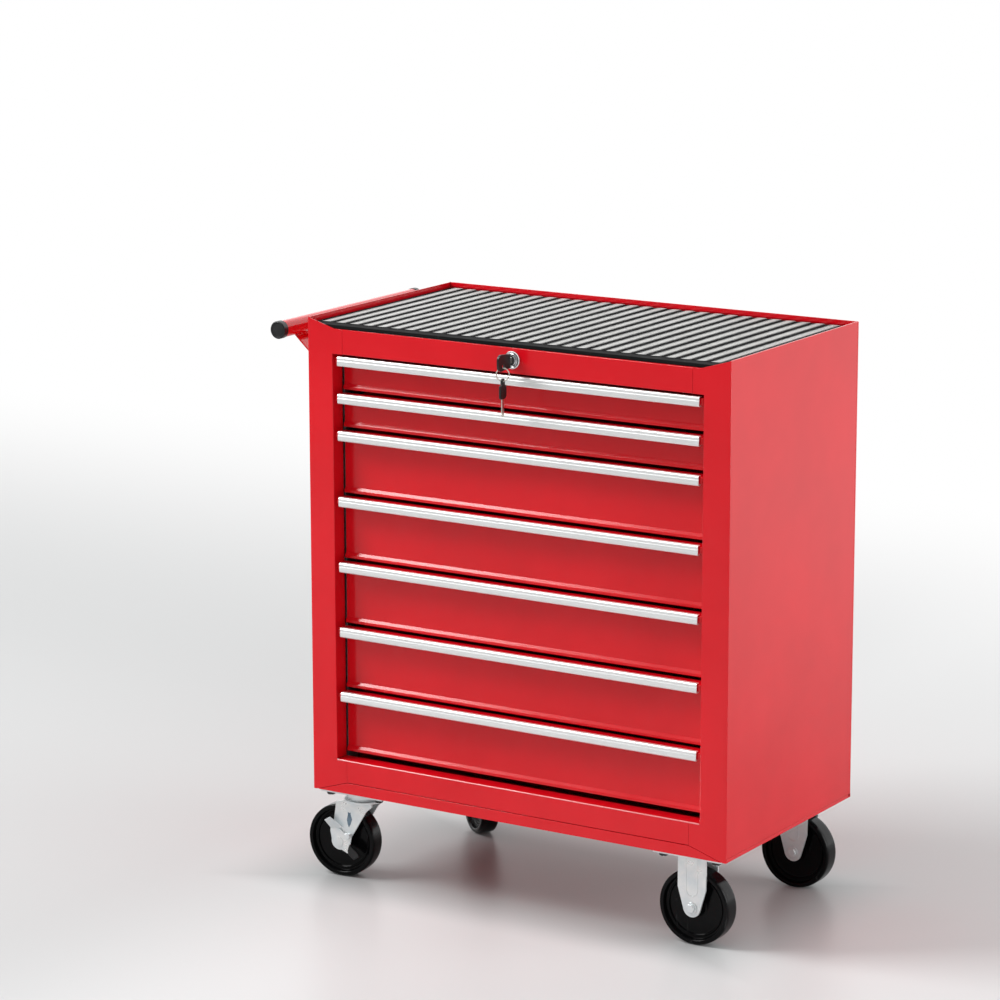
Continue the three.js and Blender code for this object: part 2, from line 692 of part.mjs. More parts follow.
function wheel() {
  const corner = 1 / Math.cos(Math.PI / WHEEL_FACETS);
  const half = WHEEL_WIDTH / 2;
  const bore = AXLE_RADIUS + AXLE_FIT;
  const rim = WHEEL_RADIUS - WHEEL_RIM;
  const side = [
    [bore, WHEEL_HUB_WIDTH / 2],
    [WHEEL_HUB_RADIUS, WHEEL_HUB_WIDTH / 2],
    [WHEEL_HUB_RADIUS, WHEEL_WEB / 2],
    [rim - WHEEL_RIM_STEP, WHEEL_WEB / 2],
    [rim, half - WHEEL_EDGE],
    [rim, half],
    [WHEEL_RADIUS - WHEEL_EDGE, half],
    [WHEEL_RADIUS * corner, half - WHEEL_EDGE],
  ];
  const other = side.map(([r, y]) => [r, -y]).reverse();
  return turnedY([...side, ...other], WHEEL_FACETS);
}

// Axle bolt, its head on the +Y side over what is stacked on the leg there
function axleBolt(stack) {
  const headLow = legOuter + stack + SEAM;
  const nutLow = legOuter + SEAM;
  const head = discY(BOLT_RADIUS, headLow, headLow + BOLT_HEAD, HEX_SIDES);
  const nut = discY(BOLT_RADIUS, -nutLow - BOLT_HEAD, -nutLow, HEX_SIDES);
  const shank = discY(AXLE_RADIUS, -nutLow - SHEET, headLow + SHEET);
  return join(head, shank, nut);
}

function plateBolts() {
  const bolts = [];
  for (const x of [-PLATE_BOLT_SPACING / 2, PLATE_BOLT_SPACING / 2]) {
    for (const y of [-PLATE_BOLT_SPACING_ACROSS / 2, PLATE_BOLT_SPACING_ACROSS / 2]) {
      bolts.push(moved(
        alongZ(circle(0, 0, PLATE_BOLT_RADIUS, HEX_SIDES), plateLow - PLATE_BOLT_HEAD, plateLow + SHEET),
        x, y, 0,
      ));
    }
  }
  return bolts;
}

function casterPlate() {
  const length = [-PLATE_LENGTH / 2, PLATE_LENGTH / 2];
  return join(block(length, [-PLATE_WIDTH / 2, PLATE_WIDTH / 2], [plateLow, plateTop]), ...plateBolts());
}

function axleHole(x) {
  return moved(discY(AXLE_RADIUS + AXLE_FIT, -PLATE_WIDTH, PLATE_WIDTH), x, 0, axleDrop);
}

// Rigid fork: plate and two tapered legs pressed from one blank
function rigidFork() {
  const half = RIGID_LEG_WIDTH / 2;
  const outline = [
    [-half, plateLow + SHEET],
    [-half, -RIGID_LEG_SHOULDER],
    ...arc(0, axleDrop, FORK_END_RADIUS, 180 + RIGID_LEG_ARC_DEG, 360 - RIGID_LEG_ARC_DEG),
    [half, -RIGID_LEG_SHOULDER],
    [half, plateLow + SHEET],
  ];
  const legs = [-legOuter, legInner].map((y) => alongY(outline, y, y + FORK_SHEET));
  return cut(join(casterPlate(), ...legs), axleHole(0));
}

// Swivel top plate, with the upper half of the ball race under it
const raceLow = plateLow - SWIVEL_RACE_HEIGHT;
function swivelPlate() {
  const race = turnedZ([
    [0, plateLow + SHEET],
    [SWIVEL_RACE_RADIUS, plateLow + SHEET],
    [SWIVEL_RACE_RADIUS, plateLow - SHEET],
    [SWIVEL_RACE_RADIUS - SWIVEL_RACE_TAPER, raceLow],
    [0, raceLow],
  ]);
  return join(casterPlate(), race);
}

// Swivel fork: a round crown, and two legs that sweep back to the axle, their tops free
// behind the crown
function swivelFork() {
  const crownTop = raceLow - SEAM;
  const crownLow = crownTop - FORK_SHEET;
  const crown = turnedZ([
    [0, crownTop],
    [SWIVEL_CROWN_RADIUS, crownTop],
    [SWIVEL_CROWN_RADIUS, crownLow],
    [0, crownLow],
  ]);
  const neck = block(
    [-SWIVEL_LEG_CROWN, SWIVEL_LEG_CROWN],
    [-legOuter, legOuter],
    [crownLow, crownTop],
  );
  const outline = [
    [-SWIVEL_LEG_FRONT, crownTop],
    [-SWIVEL_LEG_FRONT, -SWIVEL_LEG_FRONT_DROP],
    [-SWIVEL_LEG_KNEE, -SWIVEL_LEG_KNEE_DROP],
    ...arc(SWIVEL_TRAIL, axleDrop, FORK_END_RADIUS, SWIVEL_LEG_ARC_DEG, 360),
    [SWIVEL_LEG_HEEL, -SWIVEL_LEG_HEEL_DROP],
    [SWIVEL_LEG_BACK, -SWIVEL_LEG_BACK_DROP],
    [SWIVEL_LEG_CROWN, crownTop],
  ];
  const legs = [-legOuter, legInner].map((y) => alongY(outline, y, y + FORK_SHEET));
  return cut(join(crown, neck, ...legs), axleHole(SWIVEL_TRAIL));
}

// Brake lever outside the +Y leg, its hole's middle at the origin: a bent foot tab one way
// and a rubber-faced pad the other
function brakeLever() {
  const low = legOuter + SEAM;
  const high = low + BRAKE_SHEET;
  const hub = discY(BRAKE_HUB_RADIUS, low, high);
  const tabHeights = [-BRAKE_TAB_WIDTH / 2, BRAKE_TAB_WIDTH / 2];
  const tab = block([0, BRAKE_TAB_REACH], [low, high], tabHeights);
  const toeLengths = [BRAKE_TAB_REACH - BRAKE_SHEET, BRAKE_TAB_REACH];
  const toe = block(toeLengths, [low, high + BRAKE_TAB_BEND], tabHeights);
  const padHeights = [-BRAKE_PAD_WIDTH / 2, BRAKE_PAD_WIDTH / 2];
  const arm = block([0, BRAKE_PAD_REACH], [low, high], padHeights);
  const padLengths = [BRAKE_PAD_REACH - BRAKE_PAD_LENGTH, BRAKE_PAD_REACH];
  const pad = block(padLengths, [low, high + BRAKE_PAD_THICKNESS], padHeights);
  const tabArm = join(tab, toe).rotate([0, -BRAKE_TAB_DEG, 0]);
  const padArm = join(arm, pad).rotate([0, -BRAKE_PAD_DEG, 0]);
  const hole = discY(AXLE_RADIUS + AXLE_FIT, low - CUT_OVERRUN, high + CUT_OVERRUN);
  return cut(join(hub, tabArm, padArm), hole);
}

// Assembly, in the cabinet's frame: left front corner of its underside at zero
const cart = new THREE.Group();
const cabinet = new THREE.Group();
cart.add(cabinet);

const leftSide = sidePanel();
cabinet.add(piece('left_side_panel', leftSide, red()));
cabinet.add(piece('right_side_panel', mirroredX(leftSide, BODY_WIDTH / 2), red()));
cabinet.add(piece('back_panel', backPanel(), red()));
cabinet.add(piece('bottom_pan', bottomPan(), red()));
cabinet.add(piece('top_rail', topRail(), red()));
cabinet.add(piece('bottom_rail', bottomRail(), red()));
cabinet.add(piece('top_panel', topPanel(), red()));
cabinet.add(piece('top_mat', topMat(), rubber()));

const rack = slideRack();
cabinet.add(piece('left_slide_rack', rack, zinc()));
cabinet.add(piece('right_slide_rack', mirroredX(rack, BODY_WIDTH / 2), zinc()));

const handle = new THREE.Group();
handle.position.set(-HANDLE_STANDOFF, 0, handleHeight);
handle.add(piece('push_handle_tube', handleTube(), red()));
const frontCap = piece('handle_cap_front', handleCap(), plastic());
frontCap.position.y = HANDLE_FRONT - SEAM - CAP_FLANGE;
handle.add(frontCap);
const rearCap = piece('handle_cap_rear', handleCap(), plastic());
rearCap.position.y = HANDLE_FRONT + handleLength + SEAM + CAP_FLANGE;
rearCap.rotation.z = Math.PI;
handle.add(rearCap);
cabinet.add(handle);
const frontBracket = piece('handle_bracket_front', handleBracket(), red());
frontBracket.position.y = HANDLE_FRONT + BRACKET_FRONT_INSET;
cabinet.add(frontBracket);
const rearBracket = piece('handle_bracket_rear', handleBracket(), red());
rearBracket.position.y = HANDLE_FRONT + handleLength - BRACKET_REAR_INSET - BRACKET_WIDTH;
cabinet.add(rearBracket);

for (const drawer of drawers) {
  const group = new THREE.Group();
  group.position.set(BODY_WIDTH / 2, 0, drawer.top);
  group.add(piece(`drawer_${drawer.number}_front`, drawerFront(drawer), red()));
  group.add(piece(`drawer_${drawer.number}_box`, drawerBox(drawer), red()));
  group.add(piece(`drawer_${drawer.number}_pull`, drawerPull(), aluminium()));
  cabinet.add(group);
}

const lock = new THREE.Group();
lock.position.set(BODY_WIDTH / 2, 0, BODY_HEIGHT - LOCK_DROP);
lock.add(piece('lock_barrel', lockBarrel(), chrome()));
lock.add(piece('lock_nut', lockNut(), zinc()));
lock.add(piece('lock_plug', lockPlug(), chrome()));
lock.add(piece('key_in_lock', keyInLock(), plastic()));
cabinet.add(lock);

// A rigid caster has its fork fixed under the cabinet; a swivel one has a plate above the
// fork, and a brake lever outside it
function addCaster(name, x, y, swivelDeg) {
  const swivels = swivelDeg !== undefined;
  const caster = new THREE.Group();
  caster.position.set(x, y, 0);
  const fork = new THREE.Group();
  const axle = new THREE.Group();
  if (swivels) {
    caster.add(piece(`${name}_plate`, swivelPlate(), zinc()));
    fork.rotation.z = THREE.MathUtils.degToRad(swivelDeg);
    axle.add(piece(`${name}_brake_lever`, brakeLever(), zinc()));
  }
  fork.add(piece(`${name}_fork`, swivels ? swivelFork() : rigidFork(), zinc()));
  axle.position.set(swivels ? SWIVEL_TRAIL : 0, 0, axleDrop);
  axle.add(piece(`${name}_wheel`, wheel(), plastic()));
  axle.add(piece(`${name}_axle`, axleBolt(swivels ? SEAM + BRAKE_SHEET : 0), zinc()));
  fork.add(axle);
  caster.add(fork);
  cabinet.add(caster);
}

const rightCasters = BODY_WIDTH - CASTER_SIDE_INSET;
const rearCasters = BODY_DEPTH - CASTER_END_INSET;
addCaster('front_left_caster', CASTER_SIDE_INSET, CASTER_END_INSET, FRONT_SWIVEL_DEG);
addCaster('rear_left_caster', CASTER_SIDE_INSET, rearCasters, REAR_SWIVEL_DEG);
addCaster('front_right_caster', rightCasters, CASTER_END_INSET);
addCaster('rear_right_caster', rightCasters, rearCasters);

cabinet.position.set(
  (HANDLE_STANDOFF + CAP_RADIUS - BODY_WIDTH) / 2,
  (KEY_REACH - BODY_DEPTH) / 2,
  CASTER_HEIGHT,
);

export default cart;
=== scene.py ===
import math
import bmesh
import bpy
from mathutils import Matrix, Vector
from mathutils.geometry import tessellate_polygon


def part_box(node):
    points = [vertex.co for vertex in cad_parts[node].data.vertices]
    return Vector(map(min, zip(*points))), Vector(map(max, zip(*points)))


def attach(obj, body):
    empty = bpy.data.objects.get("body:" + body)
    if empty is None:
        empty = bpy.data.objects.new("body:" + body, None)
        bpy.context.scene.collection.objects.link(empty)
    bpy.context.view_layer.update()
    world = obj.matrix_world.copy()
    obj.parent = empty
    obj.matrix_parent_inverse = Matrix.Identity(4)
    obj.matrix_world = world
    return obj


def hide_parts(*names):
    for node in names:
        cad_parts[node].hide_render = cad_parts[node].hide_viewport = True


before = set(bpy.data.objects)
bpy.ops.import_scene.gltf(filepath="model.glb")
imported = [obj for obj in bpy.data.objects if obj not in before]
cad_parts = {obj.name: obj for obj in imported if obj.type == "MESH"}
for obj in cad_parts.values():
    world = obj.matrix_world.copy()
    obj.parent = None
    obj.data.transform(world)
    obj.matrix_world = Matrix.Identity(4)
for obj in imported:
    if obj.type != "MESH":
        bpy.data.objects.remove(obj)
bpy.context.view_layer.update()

# Camera
# It stands in front of the cart's right corner, a little above its top, with a long lens that is
# given for a 36 mm sensor.
CAMERA_PLACE = (2.4527, -4.0219, 1.5365)
CAMERA_AZIMUTH = math.radians(32.222)
CAMERA_ELEVATION = math.radians(12.291)
CAMERA_ROLL = math.radians(-0.125)
CAMERA_LENS = 135.34
CAMERA_SENSOR = 36
camera_data = bpy.data.cameras.new("camera")
camera_data.lens = CAMERA_LENS
camera_data.sensor_width = CAMERA_SENSOR
camera = bpy.data.objects.new("camera", camera_data)
camera.matrix_world = (
    Matrix.Translation(CAMERA_PLACE)
    @ Matrix.Rotation(CAMERA_AZIMUTH, 4, "Z")
    @ Matrix.Rotation(math.pi / 2 - CAMERA_ELEVATION, 4, "X")
    @ Matrix.Rotation(CAMERA_ROLL, 4, "Z")
)
bpy.context.scene.collection.objects.link(camera)
bpy.context.scene.camera = camera
bpy.context.scene.view_settings.view_transform = "Standard"


# Floor and light
# A pale, slightly shiny floor, with a painted shadow under the cart and painted shade towards the left,
# that fades to the white backdrop, a soft room light from all round, stronger in reflections of the
# backdrop, a large soft lamp high on the left that casts the shadow, and a low fill lamp on the right.
def add_node(tree, kind, values=None, **settings):
    item = tree.nodes.new(kind)
    for key, value in settings.items():
        setattr(item, key, value)
    for key, value in (values or {}).items():
        if isinstance(value, bpy.types.NodeSocket):
            tree.links.new(value, item.inputs[key])
        else:
            item.inputs[key].default_value = value
    return item


def calculate(tree, operation, first, second=0):
    return add_node(tree, "ShaderNodeMath", {0: first, 1: second}, operation=operation).outputs["Value"]


def ramp(tree, value, low, high, to_low=0.0, to_high=1.0, kind="LINEAR"):
    values = {"Value": value, "From Min": low, "From Max": high, "To Min": to_low, "To Max": to_high}
    return add_node(tree, "ShaderNodeMapRange", values, interpolation_type=kind).outputs["Result"]


def add_material(name, **sockets):
    material = bpy.data.materials.new(name)
    material.use_nodes = True
    tree = material.node_tree
    shader = tree.nodes["Principled BSDF"]
    for key, value in sockets.items():
        shader.inputs[key.replace("_", " ")].default_value = value
    return material, tree, shader


FLOOR_REACH = 14
FLOOR_NEAR = 0.55
FLOOR_FAR = 2.4
BACKDROP_SHEEN = 1.2
FLOOR_TONE = (0.70, 0.71, 0.712)
FLOOR_PAINTED_SHADOW = 0.55
FLOOR_PAINTED_SHADE_LEFT = 0.78
FLOOR_SHADE_LEFT_SPAN = (-0.5, -0.05)
FLOOR_SHADOW_PATCH = (0.36, 0.19)
FLOOR_SHADOW_EDGE = (0.6, 1.2)
floor_material, tree, shader = add_material("floor", Roughness=0.34, IOR=1.15)
spot = add_node(tree, "ShaderNodeTexCoord").outputs["Object"]
place = add_node(tree, "ShaderNodeSeparateXYZ", {0: spot})
behind = place.outputs["Y"]
# Painted shadow and painted shade: the floor colour is darkened in a soft patch under the cart and towards
# the left
aside = calculate(tree, "ABSOLUTE", calculate(tree, "DIVIDE", place.outputs["X"], FLOOR_SHADOW_PATCH[0]))
ahead = calculate(tree, "ABSOLUTE", calculate(tree, "DIVIDE", behind, FLOOR_SHADOW_PATCH[1]))
reach = calculate(tree, "MAXIMUM", aside, ahead)
painted_shadow_under_cart = ramp(tree, reach, *FLOOR_SHADOW_EDGE, FLOOR_PAINTED_SHADOW, 1, "SMOOTHSTEP")
left = ramp(tree, place.outputs["X"], *FLOOR_SHADE_LEFT_SPAN, FLOOR_PAINTED_SHADE_LEFT, 1, "SMOOTHSTEP")
painted_floor_shade = calculate(tree, "MULTIPLY", painted_shadow_under_cart, left)
floor_colour_with_painted_shade = add_node(tree, "ShaderNodeVectorMath", {0: FLOOR_TONE, "Scale": painted_floor_shade}, operation="SCALE")
tree.links.new(floor_colour_with_painted_shade.outputs["Vector"], shader.inputs["Base Color"])
fade = ramp(tree, behind, FLOOR_NEAR, FLOOR_FAR, kind="SMOOTHSTEP")
path = add_node(tree, "ShaderNodeLightPath")
seen = calculate(tree, "MAXIMUM", path.outputs["Is Camera Ray"], path.outputs["Is Glossy Ray"])
share = calculate(tree, "MULTIPLY", fade, seen)
brightness = ramp(tree, path.outputs["Is Glossy Ray"], 0, 1, 1, BACKDROP_SHEEN)
glow = add_node(tree, "ShaderNodeEmission", {"Color": (1, 1, 1, 1), "Strength": brightness})
mixed = {"Fac": share, 1: shader.outputs["BSDF"], 2: glow.outputs["Emission"]}
mix = add_node(tree, "ShaderNodeMixShader", mixed)
tree.links.new(mix.outputs["Shader"], tree.nodes["Material Output"].inputs["Surface"])
floor_mesh = bpy.data.meshes.new("floor")
corners = [(-1, -1), (1, -1), (1, 1), (-1, 1)]
floor_mesh.from_pydata([(x * FLOOR_REACH, y * FLOOR_REACH, 0) for x, y in corners], [], [(0, 1, 2, 3)])
floor_mesh.materials.append(floor_material)
floor = bpy.data.objects.new("floor", floor_mesh)
bpy.context.scene.collection.objects.link(floor)

ROOM_LIGHT_LOW = 0.62
ROOM_LIGHT_HIGH = 0.64
ROOM_LIGHT_BEHIND = 0.5
ROOM_LIGHT_TURN = (-0.3, 0.6)
ROOM_SHEEN_FRONT = 0.30
ROOM_SHEEN_BACK = 1.9
ROOM_SHEEN_TURN = (-0.75, 0.8)
world = bpy.data.worlds.new("room")
bpy.context.scene.world = world
world.use_nodes = True
tree = world.node_tree
tree.nodes.clear()
path = add_node(tree, "ShaderNodeLightPath")
towards = add_node(tree, "ShaderNodeTexCoord").outputs["Generated"]
aim = add_node(tree, "ShaderNodeSeparateXYZ", {0: towards})
sheen = ramp(tree, aim.outputs["Y"], *ROOM_SHEEN_TURN, ROOM_SHEEN_FRONT, ROOM_SHEEN_BACK, "SMOOTHSTEP")
room = ramp(tree, aim.outputs["Z"], 0, 1, ROOM_LIGHT_LOW, ROOM_LIGHT_HIGH)
room = calculate(tree, "MULTIPLY", room, ramp(tree, aim.outputs["Y"], *ROOM_LIGHT_TURN, 1, ROOM_LIGHT_BEHIND))
glossy = calculate(tree, "MULTIPLY", path.outputs["Is Glossy Ray"], sheen)
other = calculate(tree, "SUBTRACT", 1.0, path.outputs["Is Glossy Ray"])
lit = calculate(tree, "ADD", glossy, calculate(tree, "MULTIPLY", other, room))
seen = calculate(tree, "MAXIMUM", path.outputs["Is Camera Ray"], path.outputs["Is Transmission Ray"])
strength = calculate(tree, "MAXIMUM", seen, lit)
sky = add_node(tree, "ShaderNodeBackground", {"Color": (1, 1, 1, 1), "Strength": strength})
add_node(tree, "ShaderNodeOutputWorld", {"Surface": sky.outputs["Background"]})


def add_lamp(name, location, target, width, height, power):
    lamp = bpy.data.lights.new(name, "AREA")
    lamp.shape = "RECTANGLE"
    lamp.size = width
    lamp.size_y = height
    lamp.energy = power
    item = bpy.data.objects.new(name, lamp)
    aim = Vector(target) - Vector(location)
    item.matrix_world = Matrix.Translation(location) @ aim.to_track_quat("-Z", "Y").to_matrix().to_4x4()
    bpy.context.scene.collection.objects.link(item)


OVERHEAD_PLACE = (-2.4, -1.4, 2.9)
OVERHEAD_POWER = 116
FILL_PLACE = (3.0, 0.9, 1.1)
FILL_POWER = 40
add_lamp("overhead_lamp", OVERHEAD_PLACE, (0, 0, 0.4), 1.6, 1.6, OVERHEAD_POWER)
add_lamp("fill_lamp", FILL_PLACE, (0.3, 0, 0.4), 2.0, 1.6, FILL_POWER)


# Cabinet shell
# Cold-rolled sheet, 1 mm thick, cut, folded, spot-welded and sprayed in glossy red enamel. Each
# panel is a copy of its solid with its folds rounded and its cut edges broken.
MM = 0.001
CORNER = Vector((
    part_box("left_side_panel")[0].x,
    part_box("left_side_panel")[0].y,
    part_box("bottom_pan")[0].z,
))
BODY_WIDTH = 615
BODY_DEPTH = 334
BODY_HEIGHT = 625


def on_cabinet(point):
    """A place in mm from the left front corner of the cabinet's underside, in the frame's metres."""
    return CORNER + Vector(point) * MM


def noise(tree, place, scale, detail=2.0, roughness=0.5):
    values = {"Vector": place, "Scale": scale, "Detail": detail, "Roughness": roughness}
    return add_node(tree, "ShaderNodeTexNoise", values).outputs["Fac"]


def blend_colours(tree, share, first, second):
    item = add_node(tree, "ShaderNodeMix", data_type="RGBA")
    for index, value in ((0, share), (6, first), (7, second)):
        if isinstance(value, bpy.types.NodeSocket):
            tree.links.new(value, item.inputs[index])
        else:
            item.inputs[index].default_value = value
    return item.outputs[2]


def shader_group(name, inputs, outputs):
    group = bpy.data.node_groups.new(name, "ShaderNodeTree")
    for key, value in inputs.items():
        socket = group.interface.new_socket(key, in_out="INPUT", socket_type="NodeSocketFloat")
        socket.default_value = value
    for key in outputs:
        group.interface.new_socket(key, in_out="OUTPUT", socket_type="NodeSocketFloat")
    return group, group.nodes.new("NodeGroupInput"), group.nodes.new("NodeGroupOutput")


def use_group(tree, group, **values):
    item = tree.nodes.new("ShaderNodeGroup")
    item.node_tree = group
    for key, value in values.items():
        item.inputs[key.replace("_", " ")].default_value = value
    return item.outputs


# Surface relief: fine grain or orange peel, broad clouding, and thin scuffs in patches
relief, given, result = shader_group(
    "surface_relief",
    {"Grain Scale": 900.0, "Cloud Scale": 5.0, "Scuff Scale": 40.0, "Scuff Share": 0.1},
    ["Grain", "Cloud", "Scuff"],
)
spot = add_node(relief, "ShaderNodeTexCoord").outputs["Object"]
relief.links.new(noise(relief, spot, given.outputs["Grain Scale"], 3), result.inputs["Grain"])
cloud = noise(relief, spot, given.outputs["Cloud Scale"], 3, 0.6)
relief.links.new(cloud, result.inputs["Cloud"])
stretch = {"Vector": spot, "Scale": (1, 1, 0.06), "Rotation": (0.5, 0.9, 0.2)}
stretched = add_node(relief, "ShaderNodeMapping", stretch)
scratch = noise(relief, stretched.outputs["Vector"], given.outputs["Scuff Scale"], 4, 0.7)
limit = calculate(relief, "SUBTRACT", 0.74, given.outputs["Scuff Share"])
above = calculate(relief, "SUBTRACT", scratch, limit)
scuffed = calculate(relief, "MULTIPLY", above, ramp(relief, cloud, 0.5, 0.65))
relief.links.new(ramp(relief, scuffed, 0.0, 0.03), result.inputs["Scuff"])


def finish_material(name, scales, low, high, scuff, roughness, grain, **sockets):
    """A material whose colour clouds from low to high, with scuffs and a fine grained surface."""
    material, tree, shader = add_material(name, **sockets)
    keys = ("Grain_Scale", "Cloud_Scale", "Scuff_Scale", "Scuff_Share")
    marks = use_group(tree, relief, **dict(zip(keys, scales)))
    colour = blend_colours(tree, ramp(tree, marks["Cloud"], 0.33, 0.67), (*low, 1), (*high, 1))
    colour = blend_colours(tree, ramp(tree, marks["Scuff"], 0, 1, 0, scuff[3]), colour, (*scuff[:3], 1))
    tree.links.new(colour, shader.inputs["Base Color"])
    tree.links.new(ramp(tree, marks["Cloud"], 0.3, 0.7, *roughness), shader.inputs["Roughness"])
    bump = add_node(tree, "ShaderNodeBump", {"Height": marks["Grain"], "Distance": grain, "Strength": 1.0})
    tree.links.new(bump.outputs["Normal"], shader.inputs["Normal"])
    return material


enamel = finish_material(
    "red_enamel", (420.0, 6.0, 60.0, 0.0), (0.68, 0.0035, 0.0105), (0.76, 0.0050, 0.0135),
    (0.78, 0.12, 0.12, 0.3), (0.12, 0.18), 0.000010, Specular_IOR_Level=0.43,
)


SHARP_ANGLE = math.radians(38)


def finish(item, body, nodes=(), edge=0.0, segments=2, weighted=False):
    """Rounds the edges, shades the piece, hides the nodes it stands for and gives it its body."""
    mesh = item.data
    mesh.polygons.foreach_set("use_smooth", [not weighted] * len(mesh.polygons))
    mesh.set_sharp_from_angle(angle=SHARP_ANGLE)
    if edge:
        bevel = item.modifiers.new("edges", "BEVEL")
        bevel.limit_method = "WEIGHT" if weighted else "ANGLE"
        bevel.angle_limit = SHARP_ANGLE
        bevel.width = edge * MM
        bevel.segments = segments
        bevel.use_clamp_overlap = not weighted
    if not weighted:
        even = item.modifiers.new("even_normals", "WEIGHTED_NORMAL")
        even.keep_sharp = not edge
    if nodes:
        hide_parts(*nodes)
    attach(item, body)
    return item


def show(name, mesh, material):
    mesh.materials.clear()
    mesh.materials.append(material)
    item = bpy.data.objects.new(name, mesh)
    bpy.context.scene.collection.objects.link(item)
    return item


def softened(
    name, edge=0.2, folds=None, fold=0.8, segments=2,
    material=enamel, body="cabinet",
):
    """A copy of a node's solid with rounded edges. folds tests an edge's two ends, in cabinet mm."""
    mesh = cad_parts[name].data.copy()
    work = bmesh.new()
    work.from_mesh(mesh)
    bmesh.ops.remove_doubles(work, verts=work.verts, dist=1e-5)
    bmesh.ops.dissolve_limit(work, angle_limit=math.radians(0.6), verts=work.verts, edges=work.edges)
    weights = work.edges.layers.float.get("bevel_weight_edge")
    weights = weights or work.edges.layers.float.new("bevel_weight_edge")
    for item in work.edges:
        if len(item.link_faces) != 2 or item.calc_face_angle(0) < math.radians(25):
            continue
        ends = [tuple((v.co - CORNER) / MM) for v in item.verts]
        item[weights] = 1.0 if folds and folds(*ends) else edge / fold
    work.to_mesh(mesh)
    work.free()
    stored = mesh.attributes.get("custom_normal")
    if stored:
        mesh.attributes.remove(stored)
    return finish(show(name + "_finish", mesh, material), body, [name], fold, segments, weighted=True)


def near(first, second):
    return abs(first - second) < 0.05


def upright(p, q):
    return near(p[0], q[0]) and near(p[1], q[1])


def at_side(p):
    return near(p[0], 0) or near(p[0], BODY_WIDTH)


POST_MINIMUM = 400


def side_folds(p, q):
    corner = upright(p, q) and at_side(p) and near(p[1], 0)
    hem = near(p[2], BODY_HEIGHT) and near(q[2], BODY_HEIGHT) and near(p[0], q[0]) and at_side(p)
    post = upright(p, q) and near(p[1], 0) and abs(p[2] - q[2]) > POST_MINIMUM
    return corner or hem or post


def back_folds(p, q):
    return upright(p, q) and at_side(p) and near(p[1], BODY_DEPTH)


def lying(p, q):
    long = abs(p[0] - q[0]) > BODY_WIDTH / 2
    return long and near(p[1], q[1]) and near(p[2], q[2]) and near(p[1], 0)


SHELL_EDGE = 0.15
SHELL_FOLD = 0.8
for name in ("left_side_panel", "right_side_panel"):
    softened(name, SHELL_EDGE, side_folds, SHELL_FOLD, 3)
softened("back_panel", SHELL_EDGE, back_folds, SHELL_FOLD, 3)
for name in ("top_rail", "bottom_rail"):
    softened(name, SHELL_EDGE, lying, SHELL_FOLD, 3)
softened("bottom_pan", 0.18)
softened("top_panel")


# Mat
# A black rubber sheet, moulded with broad ribs that run front to back. Each rib is crossed by fine
# slanting teeth whose tops are coloured light grey as a painted sheen, and finer black teeth lie between the
# ribs.
def closed_mesh(name, vertices, faces, at=Matrix.Identity(4)):
    """A closed mesh from places in mm, given in the cabinet's frame or in the frame of at."""
    work = bmesh.new()
    points = [work.verts.new(on_cabinet(at @ Vector(v))) for v in vertices]
    for corners in faces:
        work.faces.new([points[i] for i in corners])
    bmesh.ops.remove_doubles(work, verts=work.verts, dist=1e-6)
    bmesh.ops.dissolve_limit(work, angle_limit=math.radians(0.2), verts=work.verts, edges=work.edges)
    bmesh.ops.recalc_face_normals(work, faces=work.faces)
    mesh = bpy.data.meshes.new(name)
    work.to_mesh(mesh)
    work.free()
    return mesh


def run_of(section, stations):
    """A solid run of one closed section through stations, each a function from (u, v) to a place."""
    count = len(section)
    vertices = [station(u, v) for station in stations for u, v in section]
    faces = [tuple(reversed(range(count))), tuple(range(len(vertices) - count, len(vertices)))]
    for k in range(len(stations) - 1):
        for i in range(count):
            j = (i + 1) % count
            faces.append((k * count + i, k * count + j, (k + 1) * count + j, (k + 1) * count + i))
    return vertices, faces


def along_x(places):
    return [lambda u, v, x=x: (x, u, v) for x in places]


def repeated(name, unit, across, along, material):
    """A plain mesh of a unit mesh repeated on a grid by Geometry Nodes: (count, pitch) each way."""
    tree = bpy.data.node_groups.new(name + "_grid", "GeometryNodeTree")
    face = tree.interface
    face.new_socket("Geometry", in_out="OUTPUT", socket_type="NodeSocketGeometry")
    face.new_socket("Geometry", in_out="INPUT", socket_type="NodeSocketGeometry")
    values = {
        "Count Across": across[0],
        "Count Along": along[0],
        "Span Across": (across[0] - 1) * across[1] * MM,
        "Span Along": (along[0] - 1) * along[1] * MM,
    }
    sockets = {}
    for key, value in values.items():
        kind = "NodeSocketInt" if isinstance(value, int) else "NodeSocketFloat"
        sockets[key] = face.new_socket(key, in_out="INPUT", socket_type=kind).identifier
    given = tree.nodes.new("NodeGroupInput").outputs
    grid = add_node(tree, "GeometryNodeMeshGrid", {
        "Size X": given["Span Across"], "Size Y": given["Span Along"],
        "Vertices X": given["Count Across"], "Vertices Y": given["Count Along"],
    })
    copies = add_node(tree, "GeometryNodeInstanceOnPoints", {
        "Points": grid.outputs["Mesh"], "Instance": given["Geometry"],
    })
    real = add_node(tree, "GeometryNodeRealizeInstances", {"Geometry": copies.outputs["Instances"]})
    painted = add_node(tree, "GeometryNodeSetMaterial", {
        "Geometry": real.outputs["Geometry"], "Material": material,
    })
    out = tree.nodes.new("NodeGroupOutput")
    tree.links.new(painted.outputs["Geometry"], out.inputs["Geometry"])
    holder = bpy.data.objects.new(name + "_unit", unit)
    bpy.context.scene.collection.objects.link(holder)
    grid_maker = holder.modifiers.new("grid", "NODES")
    grid_maker.node_group = tree
    for key, value in values.items():
        grid_maker[sockets[key]] = value
    evaluated = holder.evaluated_get(bpy.context.evaluated_depsgraph_get())
    mesh = bpy.data.meshes.new_from_object(evaluated)
    bpy.data.objects.remove(holder)
    return mesh


